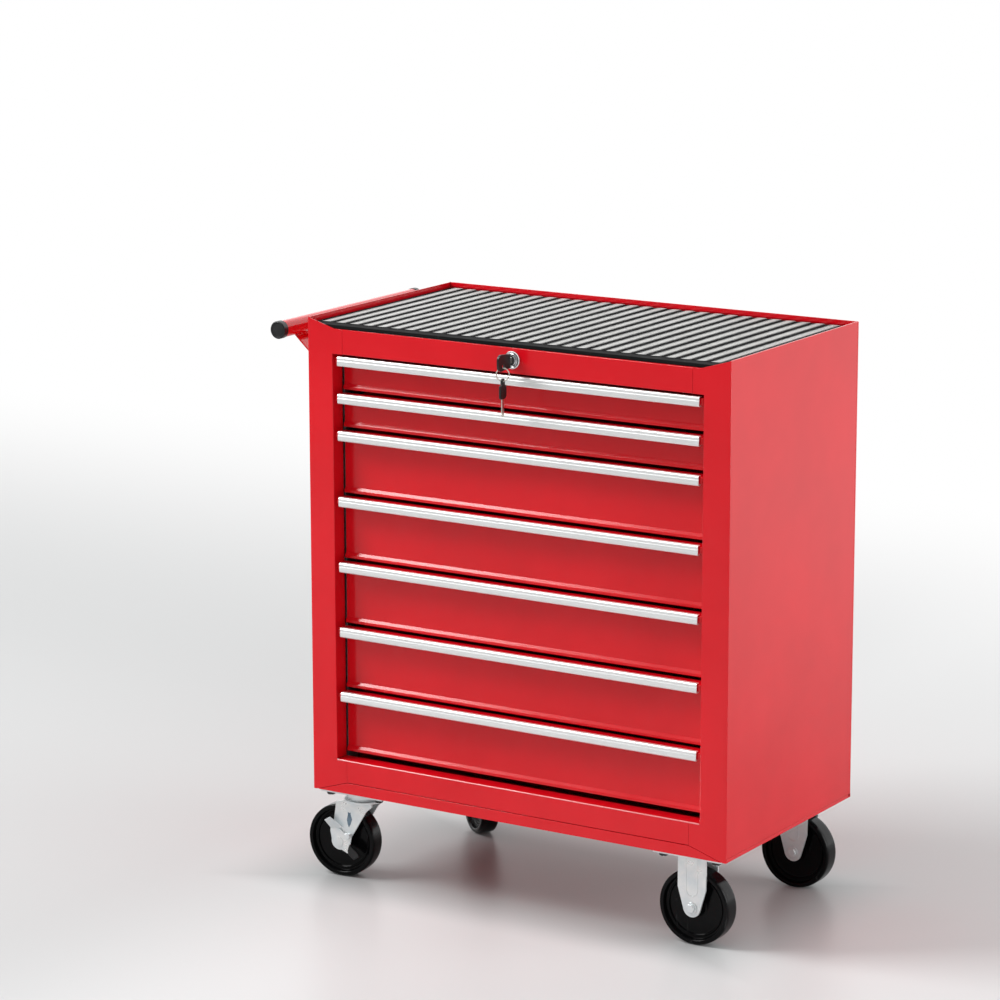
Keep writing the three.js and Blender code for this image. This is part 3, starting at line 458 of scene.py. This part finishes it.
MAT_LEFT = 2.3
MAT_RIGHT = BODY_WIDTH - 2.3
MAT_FRONT = 1.3
MAT_BACK = 331.7
MAT_LOW = 613.1
MAT_TOP = 617.6
MAT_EDGE = 0.5
MAT_RIB_FRONT = 16.3
RIB_COUNT = 29
RIB_PITCH = 21
RIB_FIRST = 17.4
RIB_WIDTH = 14.6
TOOTH_PITCH = 5.2
TOOTH_COUNT = 60
TOOTH_SLANT = 1.2
TOOTH_RISE = 0.2
TOOTH_CREST = 0.7
TOOTH_INSET = 0.1
TOOTH_GAP = 1.7
TOOTH_FOOT = -0.2
VALLEY_CREST = 0.5
rubber = finish_material(
    "black_rubber", (1800.0, 14.0, 90.0, 0.1), (0.008, 0.008, 0.0085), (0.012, 0.012, 0.0125),
    (0.10, 0.10, 0.10, 0.3), (0.70, 0.85), 0.00006, Specular_IOR_Level=0.06,
)
rib_rubber_painted_sheen, tree, shader = add_material("rib_rubber_painted_sheen", Specular_IOR_Level=0.3)
marks = use_group(tree, relief, Grain_Scale=1500.0, Cloud_Scale=18.0, Scuff_Scale=80.0, Scuff_Share=0.12)
spot = add_node(tree, "ShaderNodeTexCoord").outputs["Object"]
height = add_node(tree, "ShaderNodeSeparateXYZ", {0: spot}).outputs["Z"]
# Painted sheen: the tops of the rib teeth are coloured light grey in place of the black rubber's sheen,
# varied at random by the clouding
crest_height = on_cabinet((0, 0, MAT_TOP + TOOTH_CREST)).z
crest = ramp(tree, height, crest_height - TOOTH_RISE * MM, crest_height - TOOTH_RISE * MM / 4)
painted_crest_sheen = calculate(tree, "MULTIPLY", crest, ramp(tree, marks["Cloud"], 0.3, 0.6, 0.85, 1.0))
colour = blend_colours(tree, painted_crest_sheen, (0.012, 0.013, 0.013, 1), (0.76, 0.755, 0.74, 1))
tree.links.new(colour, shader.inputs["Base Color"])
tree.links.new(ramp(tree, marks["Grain"], 0.3, 0.7, 0.35, 0.55), shader.inputs["Roughness"])
bump = add_node(tree, "ShaderNodeBump", {"Height": marks["Grain"], "Distance": 0.00004, "Strength": 1.0})
tree.links.new(bump.outputs["Normal"], shader.inputs["Normal"])

base = [
    (MAT_FRONT, MAT_LOW), (MAT_BACK, MAT_LOW), (MAT_BACK, MAT_TOP - MAT_EDGE),
    (MAT_BACK - MAT_EDGE, MAT_TOP), (MAT_FRONT + MAT_EDGE, MAT_TOP), (MAT_FRONT, MAT_TOP - MAT_EDGE),
]
mesh = closed_mesh("mat_base", *run_of(base, along_x((MAT_LEFT, MAT_RIGHT))))
finish(show("mat_base", mesh, rubber), "cabinet", ["top_mat"], 0.3)


def tooth(name, half_width, crest, foot):
    """A slanting bar across a rib with pointed ends, at its own middle."""
    half = TOOTH_PITCH / 2
    taper = min(TOOTH_PITCH * 0.85, half_width * 0.8)
    points = []
    for height, inset in ((foot, 0), (crest, TOOTH_INSET)):
        across = half_width - inset
        run = half - TOOTH_GAP / 2 - inset
        outline = [
            (-across, 0), (taper - across, -run), (across - taper, -run), (across, 0),
            (across - taper, run), (taper - across, run),
        ]
        points += [(x, y + TOOTH_SLANT * x / half_width, height) for x, y in outline]
    faces = [(5, 4, 3, 2, 1, 0), (6, 7, 8, 9, 10, 11)]
    faces += [(i, (i + 1) % 6, (i + 1) % 6 + 6, i + 6) for i in range(6)]
    mesh = bpy.data.meshes.new(name)
    mesh.from_pydata([tuple(c * MM for c in p) for p in points], [], faces)
    return mesh


mat_middle = Matrix.Translation(on_cabinet((
    RIB_FIRST + (RIB_COUNT - 1) * RIB_PITCH / 2,
    MAT_RIB_FRONT + TOOTH_PITCH / 2 + TOOTH_SLANT + (TOOTH_COUNT - 1) * TOOTH_PITCH / 2,
    MAT_TOP,
)))
along = (TOOTH_COUNT, TOOTH_PITCH)
unit = tooth("rib_tooth", RIB_WIDTH / 2, TOOTH_CREST, TOOTH_FOOT)
mesh = repeated("mat_ribs", unit, (RIB_COUNT, RIB_PITCH), along, rib_rubber_painted_sheen)
mesh.transform(mat_middle)
finish(show("mat_ribs", mesh, rib_rubber_painted_sheen), "cabinet")
unit = tooth("valley_tooth", (RIB_PITCH - RIB_WIDTH) / 2, VALLEY_CREST, TOOTH_FOOT)
mesh = repeated("mat_valleys", unit, (RIB_COUNT - 1, RIB_PITCH), along, rubber)
mesh.transform(mat_middle)
finish(show("mat_valleys", mesh, rubber), "cabinet")


# Slide racks
# Zinc-plated channels on two uprights at each side, one channel for each drawer, spot-welded
# behind the posts.
zinc = finish_material(
    "zinc_plate", (700.0, 45.0, 120.0, 0.04), (0.74, 0.79, 0.81), (0.87, 0.88, 0.87),
    (0.42, 0.50, 0.56, 0.2), (0.40, 0.26), 0.00001, Metallic=0.55,
)
# The racks take a darker copy of the zinc plate, as painted shade in the gaps behind the posts
rack_zinc_painted_shade = finish_material(
    "rack_zinc_painted_shade", (700.0, 45.0, 120.0, 0.08), (0.30, 0.32, 0.33), (0.40, 0.42, 0.43),
    (0.2, 0.22, 0.24, 0.4), (0.5, 0.4), 0.00003, Metallic=0.9,
)
for name in ("left_slide_rack", "right_slide_rack"):
    softened(name, SHELL_EDGE, material=rack_zinc_painted_shade)


# Drawer boxes
# Folded trays in the same red enamel, with a runner channel along each side.
for number in range(1, 8):
    softened(f"drawer_{number}_box", body=f"drawer_{number}")


# Drawer fronts
# One sheet each: a lip for the pull, the ledge behind it, the face, and a flared foot, with
# rounded folds.
def toward(first, second):
    return (second - first).normalized()


def sheet_section(path, thickness, fold, steps=5):
    """The outline of a bent sheet: path is its outer line, with the sheet to the right of its run."""
    path = [Vector(p) for p in path]
    middle = []
    for i, point in enumerate(path):
        before = toward(path[i - 1], point) if i > 0 else toward(point, path[i + 1])
        after = toward(point, path[i + 1]) if i < len(path) - 1 else before
        normal = Vector((before.y + after.y, -before.x - after.x))
        middle.append(point + normal * (thickness / 2) / (normal.x * before.y - normal.y * before.x))
    line = [(middle[0], toward(middle[0], middle[1]))]
    for i in range(1, len(middle) - 1):
        before = toward(middle[i - 1], middle[i])
        after = toward(middle[i], middle[i + 1])
        turn = math.atan2(before.x * after.y - before.y * after.x, before.dot(after))
        side = 1 if turn > 0 else -1
        start = middle[i] - before * fold * math.tan(abs(turn) / 2)
        centre = start + Vector((-before.y, before.x)) * fold * side
        for k in range(steps + 1):
            spin = Matrix.Rotation(turn * k / steps, 2)
            line.append((centre + spin @ (start - centre), spin @ before))
    line.append((middle[-1], toward(middle[-2], middle[-1])))
    half = thickness / 2
    broken = thickness / 4
    left = []
    right = []
    for i, (point, run) in enumerate(line):
        across = Vector((-run.y, run.x))
        inward = run * (broken if i == 0 else -broken if i == len(line) - 1 else 0)
        if i == 0:
            left.append(point + across * (half - broken))
            right.append(point - across * (half - broken))
        left.append(point + inward + across * half)
        right.append(point + inward - across * half)
        if i == len(line) - 1:
            left.append(point + across * (half - broken))
            right.append(point - across * (half - broken))
    return [tuple(p) for p in left + right[::-1]]


DRAWER_ENDS = (BODY_WIDTH / 2 - 267.5, BODY_WIDTH / 2 + 267.5)
FACE_BACK = 24
LIP_FRONT = 3.5
LEDGE_TOP = -1.5
LIP_DROP = 7.5
FLARE_HEIGHT = 7
FLARE_LIP = 3
FLARE_OUT = 2.8
FRONT_SHEET = 1.0
FRONT_FOLD = 1.3
drawer_tops = {}
for number in range(1, 8):
    top = (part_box(f"drawer_{number}_pull")[1].z - CORNER.z) / MM
    foot = (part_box(f"drawer_{number}_front")[0].z - CORNER.z) / MM
    drawer_tops[number] = top
    section = sheet_section([
        (LIP_FRONT, top + LEDGE_TOP - LIP_DROP),
        (LIP_FRONT, top + LEDGE_TOP),
        (FACE_BACK, top + LEDGE_TOP),
        (FACE_BACK, foot + FLARE_HEIGHT),
        (FACE_BACK - FLARE_OUT, foot + FLARE_LIP),
        (FACE_BACK - FLARE_OUT, foot),
    ], FRONT_SHEET, FRONT_FOLD)
    mesh = closed_mesh("drawer_front", *run_of(section, along_x(DRAWER_ENDS)))
    item = show(f"drawer_{number}_face", mesh, enamel)
    finish(item, f"drawer_{number}", [f"drawer_{number}_front"])


# Drawer pulls
# Satin anodised aluminium extrusions, open at the back, with a bevel along the top and the bottom
# and a shallow groove along the face, clipped over the lips of the drawer fronts.
aluminium, tree, shader = add_material("satin_aluminium", Metallic=0.6)
marks = use_group(tree, relief, Grain_Scale=900.0, Cloud_Scale=9.0, Scuff_Scale=150.0, Scuff_Share=0.05)
spot = add_node(tree, "ShaderNodeTexCoord").outputs["Object"]
lines = add_node(tree, "ShaderNodeMapping", {"Vector": spot, "Scale": (0.001, 1, 1)}).outputs["Vector"]
drawn = noise(tree, lines, 1400.0, 2, 0.6)
colour = blend_colours(tree, ramp(tree, drawn, 0.3, 0.7), (0.86, 0.87, 0.87, 1), (0.95, 0.955, 0.95, 1))
colour = blend_colours(tree, ramp(tree, marks["Scuff"], 0, 1, 0, 0.35), colour, (0.62, 0.63, 0.64, 1))
tree.links.new(colour, shader.inputs["Base Color"])
tree.links.new(ramp(tree, drawn, 0.3, 0.7, 0.46, 0.36), shader.inputs["Roughness"])
bump = add_node(tree, "ShaderNodeBump", {"Height": drawn, "Distance": 0.00001, "Strength": 1.0})
tree.links.new(bump.outputs["Normal"], shader.inputs["Normal"])

PULL_FRONT = 0.5
PULL_ENDS = (DRAWER_ENDS[0] + 4, DRAWER_ENDS[1] - 4)
PULL_HEIGHT = 12.5
PULL_BEVEL_RUN = 1.2
PULL_BEVEL_RISE = 1.6
PULL_RETURN = 6
PULL_SHEET = 0.9
PULL_FOLD = 0.5
GROOVE_DROP = 4.2
GROOVE_DEPTH = 0.4
GROOVE_MOUTH = 1.5
GROOVE_FLOOR = 0.6
for number, top in drawer_tops.items():
    section = sheet_section([
        (PULL_FRONT + PULL_RETURN, top - PULL_HEIGHT),
        (PULL_FRONT + PULL_BEVEL_RUN, top - PULL_HEIGHT),
        (PULL_FRONT, top - PULL_HEIGHT + PULL_BEVEL_RISE),
        (PULL_FRONT, top - GROOVE_DROP - GROOVE_MOUTH),
        (PULL_FRONT + GROOVE_DEPTH, top - GROOVE_DROP - GROOVE_FLOOR),
        (PULL_FRONT + GROOVE_DEPTH, top - GROOVE_DROP + GROOVE_FLOOR),
        (PULL_FRONT, top - GROOVE_DROP + GROOVE_MOUTH),
        (PULL_FRONT, top - PULL_BEVEL_RISE),
        (PULL_FRONT + PULL_BEVEL_RUN, top),
        (PULL_FRONT + PULL_RETURN, top),
    ], PULL_SHEET, PULL_FOLD, 3)
    mesh = closed_mesh("drawer_pull", *run_of(section, along_x(PULL_ENDS)))
    item = show(f"drawer_{number}_handle", mesh, aluminium)
    finish(item, f"drawer_{number}", [f"drawer_{number}_pull"], 0.2)


# Push handle
# A red steel tube along the left side, welded to two bent strips that brace it from below, with
# a moulded black cap in each end.
def turned(name, profile, steps, at):
    """A turned mesh from a closed line of (radius, place) pairs about the Y axis of the frame of at."""
    count = len(profile)
    vertices = []
    faces = []
    for k in range(steps):
        angle = 2 * math.pi * k / steps
        after = (k + 1) % steps
        for i, (radius, place) in enumerate(profile):
            j = (i + 1) % count
            vertices.append((radius * math.cos(angle), place, radius * math.sin(angle)))
            if profile[i][0] or profile[j][0]:
                faces.append((k * count + i, after * count + i, after * count + j, k * count + j))
    return closed_mesh(name, vertices, faces, at)


def bar_along(name, path, sizes, sides=10, closed=False, beside=(0.31, 0.17, 0.93)):
    """A round bar along a path in cabinet mm, with a radius for each place. It never runs along beside."""
    path = [Vector(p) for p in path]
    count = len(path)
    vertices = []
    faces = []
    for i, point in enumerate(path):
        before = path[i - 1] if i > 0 or closed else point
        after = path[(i + 1) % count] if i < count - 1 or closed else point
        run = (after - before).normalized()
        aside = run.cross(Vector(beside)).normalized()
        up = run.cross(aside)
        for k in range(sides):
            angle = 2 * math.pi * k / sides
            vertices.append(point + (aside * math.cos(angle) + up * math.sin(angle)) * sizes[i])
            if i < count - 1 or closed:
                j = (i + 1) % count
                n = (k + 1) % sides
                faces.append((i * sides + k, i * sides + n, j * sides + n, j * sides + k))
    if not closed:
        faces += [tuple(range(sides)), tuple(range((count - 1) * sides, count * sides))]
    return closed_mesh(name, vertices, faces)


HANDLE_X = -50
HANDLE_Z = 602.5
HANDLE_FRONT = 12
HANDLE_BACK = 317
TUBE_RADIUS = 11
TUBE_BORE = 9.8
TUBE_EDGE = 0.4
TUBE_STEPS = 48
handle_axis = Matrix.Translation((HANDLE_X, 0, HANDLE_Z))
mesh = turned("handle_tube", [
    (TUBE_RADIUS, HANDLE_FRONT + TUBE_EDGE), (TUBE_RADIUS, HANDLE_BACK - TUBE_EDGE),
    (TUBE_RADIUS - TUBE_EDGE, HANDLE_BACK), (TUBE_BORE, HANDLE_BACK),
    (TUBE_BORE, HANDLE_FRONT), (TUBE_RADIUS - TUBE_EDGE, HANDLE_FRONT),
], TUBE_STEPS, handle_axis)
finish(show("handle_tube", mesh, enamel), "cabinet", ["push_handle_tube"])

black_plastic = finish_material(
    "black_plastic", (1600.0, 30.0, 140.0, 0.1), (0.008, 0.008, 0.0085), (0.016, 0.016, 0.017),
    (0.09, 0.09, 0.09, 0.3), (0.30, 0.45), 0.00004, Specular_IOR_Level=0.45,
)
cap = [
    (0, -8.1), (8.9, -8.1), (9.3, -8.7), (10.2, -8.8), (11.1, -8.4), (11.6, -7.6), (11.6, -0.3),
    (9.5, -0.3), (9.5, 12), (0, 12),
]
for end, place, turn in (("front", HANDLE_FRONT, 1), ("rear", HANDLE_BACK, -1)):
    mesh = turned(f"handle_end_{end}", [(r, place + turn * y) for r, y in cap], TUBE_STEPS, handle_axis)
    item = show(f"handle_end_{end}", mesh, black_plastic)
    finish(item, "cabinet", [f"handle_cap_{end}"])

WELD_BEADS = 14
WELD_ASIDE = 3.2
WELD_BELOW = 11.3
for end in ("front", "rear"):
    name = f"handle_bracket_{end}"
    softened(name, 0.3)
    first = (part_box(name)[0].y - CORNER.y) / MM
    last = (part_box(name)[1].y - CORNER.y) / MM
    seam = []
    for k in range(WELD_BEADS + 1):
        along = first + 1 + (last - first - 2) * k / WELD_BEADS
        seam.append((HANDLE_X + WELD_ASIDE, along, HANDLE_Z - WELD_BELOW))
    sizes = [1.9 + 0.45 * math.sin(2.4 * k) for k in range(WELD_BEADS + 1)]
    finish(show(f"handle_weld_{end}", bar_along("weld", seam, sizes), enamel), "cabinet")


# Shelf edge
# The fold along the front of the shelf under the lowest drawer is covered by a round bar of glossier,
# coated enamel that catches the lamp, its colour lightened to pink as a painted highlight, so it shows as a
# bright line.
SHELF_EDGE = ((38.2, 0.85, 44.15), (576.8, 0.85, 44.15))
SHELF_EDGE_RADIUS = 1.0
glossy_fold_painted_highlight = finish_material(
    "glossy_fold_painted_highlight", (420.0, 6.0, 60.0, 0.0), (0.78, 0.16, 0.17), (0.84, 0.2, 0.21),
    (0.80, 0.3, 0.3, 0.3), (0.22, 0.3), 0.000005,
    Specular_IOR_Level=1.0, Coat_Weight=1.0, Coat_Roughness=0.15,
)
mesh = bar_along("shelf_edge", SHELF_EDGE, (SHELF_EDGE_RADIUS, SHELF_EDGE_RADIUS), 24)
finish(show("shelf_edge", mesh, glossy_fold_painted_highlight), "cabinet")


# Lock and keys
# A chromed cam lock in the top rail. The key in it has a black moulded head with a hole, and a
# thin steel ring through the hole carries the spare key.
chrome = finish_material(
    "chrome", (800.0, 60.0, 300.0, 0.1), (0.80, 0.81, 0.82), (0.92, 0.925, 0.93),
    (0.6, 0.6, 0.6, 0.3), (0.08, 0.16), 0.00001, Metallic=1.0,
)
LOCK_X = BODY_WIDTH / 2
LOCK_Z = 597.7
lock_axis = Matrix.Translation((LOCK_X, 0, LOCK_Z))
mesh = turned("lock_bezel", [
    (6.7, -1.4), (7.6, -1.5), (8.2, -2.4), (9.4, -2.9), (10.6, -2.7), (11.3, -1.9), (11.5, -1.0),
    (11.5, -0.3), (9.2, -0.3), (9.2, 20), (6.7, 20),
], 64, lock_axis)
finish(show("lock_bezel", mesh, chrome), "cabinet", ["lock_barrel"])
softened("lock_nut", 0.12, material=zinc)
softened("lock_plug", 0.2, material=chrome, body="lock")


def slab(name, outline, low, high, holes=(), at=Matrix.Identity(4)):
    """A flat piece cut to an outline, with holes, between two heights along the third axis of at."""
    loops = [[Vector((u, v, 0)) for u, v in loop] for loop in (outline, *holes)]
    flat = [p for loop in loops for p in loop]
    count = len(flat)
    vertices = [(p.x, p.y, low) for p in flat] + [(p.x, p.y, high) for p in flat]
    triangles = [tuple(t) for t in tessellate_polygon(loops)]
    faces = triangles + [tuple(i + count for i in t) for t in triangles]
    start = 0
    for loop in loops:
        for i in range(len(loop)):
            a = start + i
            b = start + (i + 1) % len(loop)
            faces.append((a, b, b + count, a + count))
        start += len(loop)
    return closed_mesh(name, vertices, faces, at)


def arc(x, y, radius, start, end, steps=10):
    points = []
    for k in range(steps + 1):
        angle = math.radians(start + (end - start) * k / steps)
        points.append((x + radius * math.cos(angle), y + radius * math.sin(angle)))
    return points


def ring_of(x, y, radius, steps=24, start=0):
    return arc(x, y, radius, start, start + 360 - 360 / steps, steps - 1)


# A frame whose first two axes are the cabinet's Y and Z, and whose third is its X
def facing_x(x, y, z):
    return Matrix(((0, 0, 1, x), (1, 0, 0, y), (0, 1, 0, z), (0, 0, 0, 1)))


steel = finish_material(
    "key_steel", (900.0, 80.0, 260.0, 0.2), (0.66, 0.63, 0.55), (0.80, 0.78, 0.72),
    (0.5, 0.48, 0.42, 0.4), (0.22, 0.40), 0.00002, Metallic=1.0,
)
head = arc(-27, -3.5, 7, 180, 270) + [(-6, -8.5), (-6, 8.5)] + arc(-27, 3.5, 7, 90, 180)
mesh = slab("key_head", head, -1.5, 1.5, [ring_of(-22.4, -4.9, 3)], facing_x(LOCK_X, 0, LOCK_Z))
finish(show("key_head", mesh, black_plastic), "lock", ["key_in_lock"], 0.7, 3)
shank = [(-6.5, -3.5), (17, -3.5), (18, -2.5), (18, 2.5), (17, 3.5), (-6.5, 3.5)]
mesh = slab("key_blade", shank, -0.9, 0.9, (), facing_x(LOCK_X, 0, LOCK_Z))
finish(show("key_blade", mesh, steel), "lock", (), 0.15)

RING_Y = -22.4
RING_Z = 582.8
RING_RADIUS = 8.1
RING_WIRE = 0.7
RING_TURN = math.radians(32)
ring = []
for across, rise in ring_of(0, 0, RING_RADIUS, 48):
    x = LOCK_X + across * math.cos(RING_TURN)
    ring.append((x, RING_Y + across * math.sin(RING_TURN), RING_Z + rise))
beside = (-math.sin(RING_TURN), math.cos(RING_TURN), 0)
mesh = bar_along("key_ring", ring, [RING_WIRE] * len(ring), 8, True, beside)
finish(show("key_ring", mesh, steel), "lock")

# The spare key hangs from the ring, in the same plane as the key in the lock
spare = facing_x(LOCK_X, RING_Y, RING_Z - RING_RADIUS + 3.2)
outline = arc(0, -3.2, 3.2, 0, 180, 12) + [
    (-3.2, -8), (-6.8, -9), (-6.8, -24), (-5.3, -25.5), (3.8, -25.5), (6.8, -22.5), (6.8, -9),
    (3.2, -8),
]
mesh = slab("spare_key_head", outline, -1.5, 1.5, [ring_of(0, -3.6, 1.7, 14)], spare)
finish(show("spare_key_head", mesh, black_plastic), "lock", (), 0.6, 2)
cuts = [(2.6, -24)]
for k in range(6):
    cuts += [(2.6 - 0.9 * (k % 2), -27 - 3.0 * k), (1.7 + 0.5 * (k % 3), -28.6 - 3.0 * k)]
outline = cuts + [(1.2, -47), (-0.6, -48.7), (-2.6, -45), (-2.6, -24)]
mesh = slab("spare_key_blade", outline, -0.8, 0.8, (), spare)
finish(show("spare_key_blade", mesh, steel), "lock", (), 0.12)


# Casters
# Glossy black moulded wheels with stepped rims, on zinc-plated pressed forks: rigid on the right,
# and on the left swivel ones, each with a brake lever on its axle bolt.
wheel_black = finish_material(
    "wheel_black", (1300.0, 20.0, 110.0, 0.12), (0.002, 0.002, 0.0022), (0.0035, 0.0035, 0.004),
    (0.07, 0.07, 0.07, 0.3), (0.10, 0.20), 0.00001, Specular_IOR_Level=0.12,
)
# A darker, bluish copy of the zinc, used as painted shade for the pressed dents in the swivel legs
shaded_zinc = finish_material(
    "shaded_zinc", (700.0, 60.0, 120.0, 0.1), (0.12, 0.18, 0.24), (0.22, 0.30, 0.37),
    (0.5, 0.56, 0.6, 0.4), (0.35, 0.25), 0.00002, Metallic=0.8,
)
WHEEL_DROP = -71.5
WHEEL_SIDE = [
    (4.8, 13.5), (11.8, 13.5), (12.8, 13.1), (13.2, 12.3), (14, 5.2), (16, 4.6), (34.6, 4.6),
    (36.2, 5.0), (36.8, 6.6), (37.5, 7.4), (38.4, 7.4), (39.4, 6.4), (41.4, 6.6), (42.4, 9.6),
    (42.7, 11.6), (43.4, 12.3), (44.2, 12.5), (46.4, 12.5), (47.6, 12.0), (48.5, 10.8), (48.9, 9.2),
    (49, 6),
]
wheel_profile = WHEEL_SIDE + [(r, -y) for r, y in reversed(WHEEL_SIDE)]
TRAIL = 28.5
CASTERS = {
    "front_left": (57, 33, 185, TRAIL),
    "rear_left": (57, 301, 320, TRAIL),
    "front_right": (558, 33, 0, 0),
    "rear_right": (558, 301, 0, 0),
}
PLATE_BOLTS = ((-37.5, -21), (37.5, -21), (-37.5, 21), (37.5, 21))
BOLT = [(0, 8.1), (4.2, 8.0), (5.4, 7.2), (5.8, 5.8), (5.8, 2.8), (0, 2.8)]
PIN_RADIUS = 3.9
WASHER_BORE = 3
WASHER_RADIUS = 7.8
WASHER_THICKNESS = 1.3
HEAD_RADIUS = 6.3
HEAD_HEIGHT = 3.3


# A frame whose first two axes are another frame's X and Z, and whose third is its Y
def facing_y(at, y=0):
    return at @ Matrix(((1, 0, 0, 0), (0, 0, 1, y), (0, 1, 0, 0), (0, 0, 0, 1)))


LEVER_PLATE = [
    (12.4, 18), (-1, 18), (-9, 12), (-17, 13), (-19.5, 9), (-17.4, -1.3), (-23.5, -9.5), (-17, -15),
    (-12.3, -14.5), (-4.1, -10.7), (2.3, -10.8), (8.6, -4.6), (10.4, 1.8), (12.5, 12.3),
]
LEVER_PAD = [(-17.4, -1.3), (-29.6, -11.6), (-31.8, -15.8), (-24, -21.5), (-15.9, -15.2), (-14.6, -10)]
LEVER_TAB = [(12.4, 17.7), (22, 27.6), (14, 33.2), (4.5, 27.5), (-5.4, 21.4), (-1, 18)]
TAB_LEAN = 0.45
LEVER_SHEET = 2
LEAF = [
    (13.3, -31), (11.6, -30.2), (11.0, -34), (9.3, -39.5), (11.6, -46.5), (14.2, -51), (16.0, -46.5),
    (17.1, -40.6), (15.6, -34), (15.6, -29.8),
]
LEG_OUTER = 16.4
LEVER_FRONT = LEG_OUTER + 2.3
LEVER_NUT = (-13.9, 9.4)
BEAD_HALF = 8
BEAD_TOP = -8
BEAD_FOOT = -48


def lever_tab(name, at):
    """The tab of a brake lever, which leans outwards from its fold at the plate's top edge."""
    vertices = []
    for x, z in LEVER_TAB:
        out = max(0.0, (z - LEVER_TAB[0][1]) * TAB_LEAN)
        vertices.append((x - 0.65 * out, LEVER_FRONT + out, z + 0.14 * out))
        vertices.append((x - 0.65 * out, LEVER_FRONT + out - LEVER_SHEET, z + 0.14 * out))
    count = len(LEVER_TAB)
    faces = [tuple(range(0, 2 * count, 2)), tuple(range(2 * count - 1, 0, -2))]
    for i in range(count):
        j = (i + 1) % count
        faces.append((2 * i, 2 * j, 2 * j + 1, 2 * i + 1))
    return closed_mesh(name, vertices, faces, at)


for name, (x, y, heading, trail) in CASTERS.items():
    swivels = trail > 0
    body = f"{name}_swivel" if swivels else "cabinet"
    brake = f"{name}_brake"
    foot = Matrix.Translation((x, y, 0))
    pivot = foot @ Matrix.Rotation(math.radians(heading), 4, "Z")
    axle = pivot @ Matrix.Translation((trail, 0, WHEEL_DROP))
    item = show(f"{name}_tyre", turned(f"{name}_tyre", wheel_profile, 96, axle), wheel_black)
    finish(item, f"{name}_wheel", [f"{name}_caster_wheel"])
    softened(f"{name}_caster_fork", 0.12, material=zinc, body=body)
    for i, (across, along) in enumerate(PLATE_BOLTS):
        place = foot @ Matrix.Translation((across, along, 0))
        mesh = turned(f"{name}_bolt", BOLT, 20, place @ Matrix.Rotation(-math.pi / 2, 4, "X"))
        finish(show(f"{name}_bolt_{i}", mesh, black_plastic), "cabinet")
    shaft = [(0, -LEG_OUTER), (PIN_RADIUS, -LEG_OUTER), (PIN_RADIUS, LEG_OUTER), (0, LEG_OUTER)]
    item = show(f"{name}_pin", turned(f"{name}_pin", shaft, 24, axle), zinc)
    finish(item, body, [f"{name}_caster_axle"])
    sides = (-1,) if swivels else (-1, 1)
    for side in sides:
        low = side * (LEG_OUTER + 0.2)
        high = low + side * WASHER_THICKNESS
        washer = [(WASHER_BORE, low), (WASHER_RADIUS, low), (WASHER_RADIUS, high), (WASHER_BORE, high)]
        mesh = turned(f"{name}_washer", washer, 32, axle)
        finish(show(f"{name}_washer_{side + 1}", mesh, zinc), body, (), 0.3)
        head = ring_of(0, 0, HEAD_RADIUS, 6)
        mesh = slab(f"{name}_head", head, high, high + side * HEAD_HEIGHT, (), facing_y(axle))
        finish(show(f"{name}_head_{side + 1}", mesh, zinc), body, (), 1.2, 3)
    if swivels:
        softened(f"{name}_caster_plate", 0.3, material=zinc)
        # Painted shade: a thin dark leaf-shaped sheet on the outer leg stands for the shading of a pressed
        # dent
        mesh = slab(f"{name}_leaf", LEAF, LEG_OUTER - 0.2, LEG_OUTER + 0.15, (), facing_y(pivot))
        finish(show(f"{name}_leaf", mesh, shaded_zinc), body, (), 0.1)
        bore = ring_of(0, 0, 4.8)
        low = LEVER_FRONT - LEVER_SHEET
        mesh = slab(f"{name}_lever", LEVER_PLATE, low, LEVER_FRONT, [bore], facing_y(axle))
        item = show(f"{name}_lever", mesh, zinc)
        finish(item, brake, [f"{name}_caster_brake_lever"], 0.5, 3)
        finish(show(f"{name}_lever_tab", lever_tab(f"{name}_tab", axle), zinc), brake, (), 0.5, 3)
        low = LEVER_FRONT - 1.8
        mesh = slab(f"{name}_lever_pad", LEVER_PAD, low, LEVER_FRONT + 3.4, (), facing_y(axle))
        finish(show(f"{name}_lever_pad", mesh, black_plastic), brake, (), 0.8, 3)
        nut = ring_of(*LEVER_NUT, 4.6, 6, 15)
        mesh = slab(f"{name}_lever_nut", nut, LEVER_FRONT, LEVER_FRONT + 3.2, (), facing_y(axle))
        finish(show(f"{name}_lever_nut", mesh, zinc), brake, (), 0.7, 3)
        low = LEVER_FRONT - LEVER_SHEET
        disc = [(0, low), (4.6, low), (4.6, LEVER_FRONT), (6.6, LEVER_FRONT)]
        disc += [(6.4, LEVER_FRONT + 0.7), (5.2, LEVER_FRONT + 1.1), (0, LEVER_FRONT + 1.2)]
        item = show(f"{name}_rivet", turned(f"{name}_rivet", disc, 32, axle), zinc)
        finish(item, body)
    else:
        for side in (-1, 1):
            groove = [(-BEAD_HALF, BEAD_TOP), (-BEAD_HALF, BEAD_FOOT)]
            groove += arc(0, BEAD_FOOT, BEAD_HALF, 180, 360, 12)
            groove += [(BEAD_HALF, BEAD_FOOT), (BEAD_HALF, BEAD_TOP)]
            path = [pivot @ Vector((u, side * (LEG_OUTER - 0.3), w)) for u, w in groove]
            mesh = bar_along(f"{name}_bead", path, [0.9] * len(path), 8, beside=(0, 1, 0))
            finish(show(f"{name}_bead_{side + 1}", mesh, zinc), body)
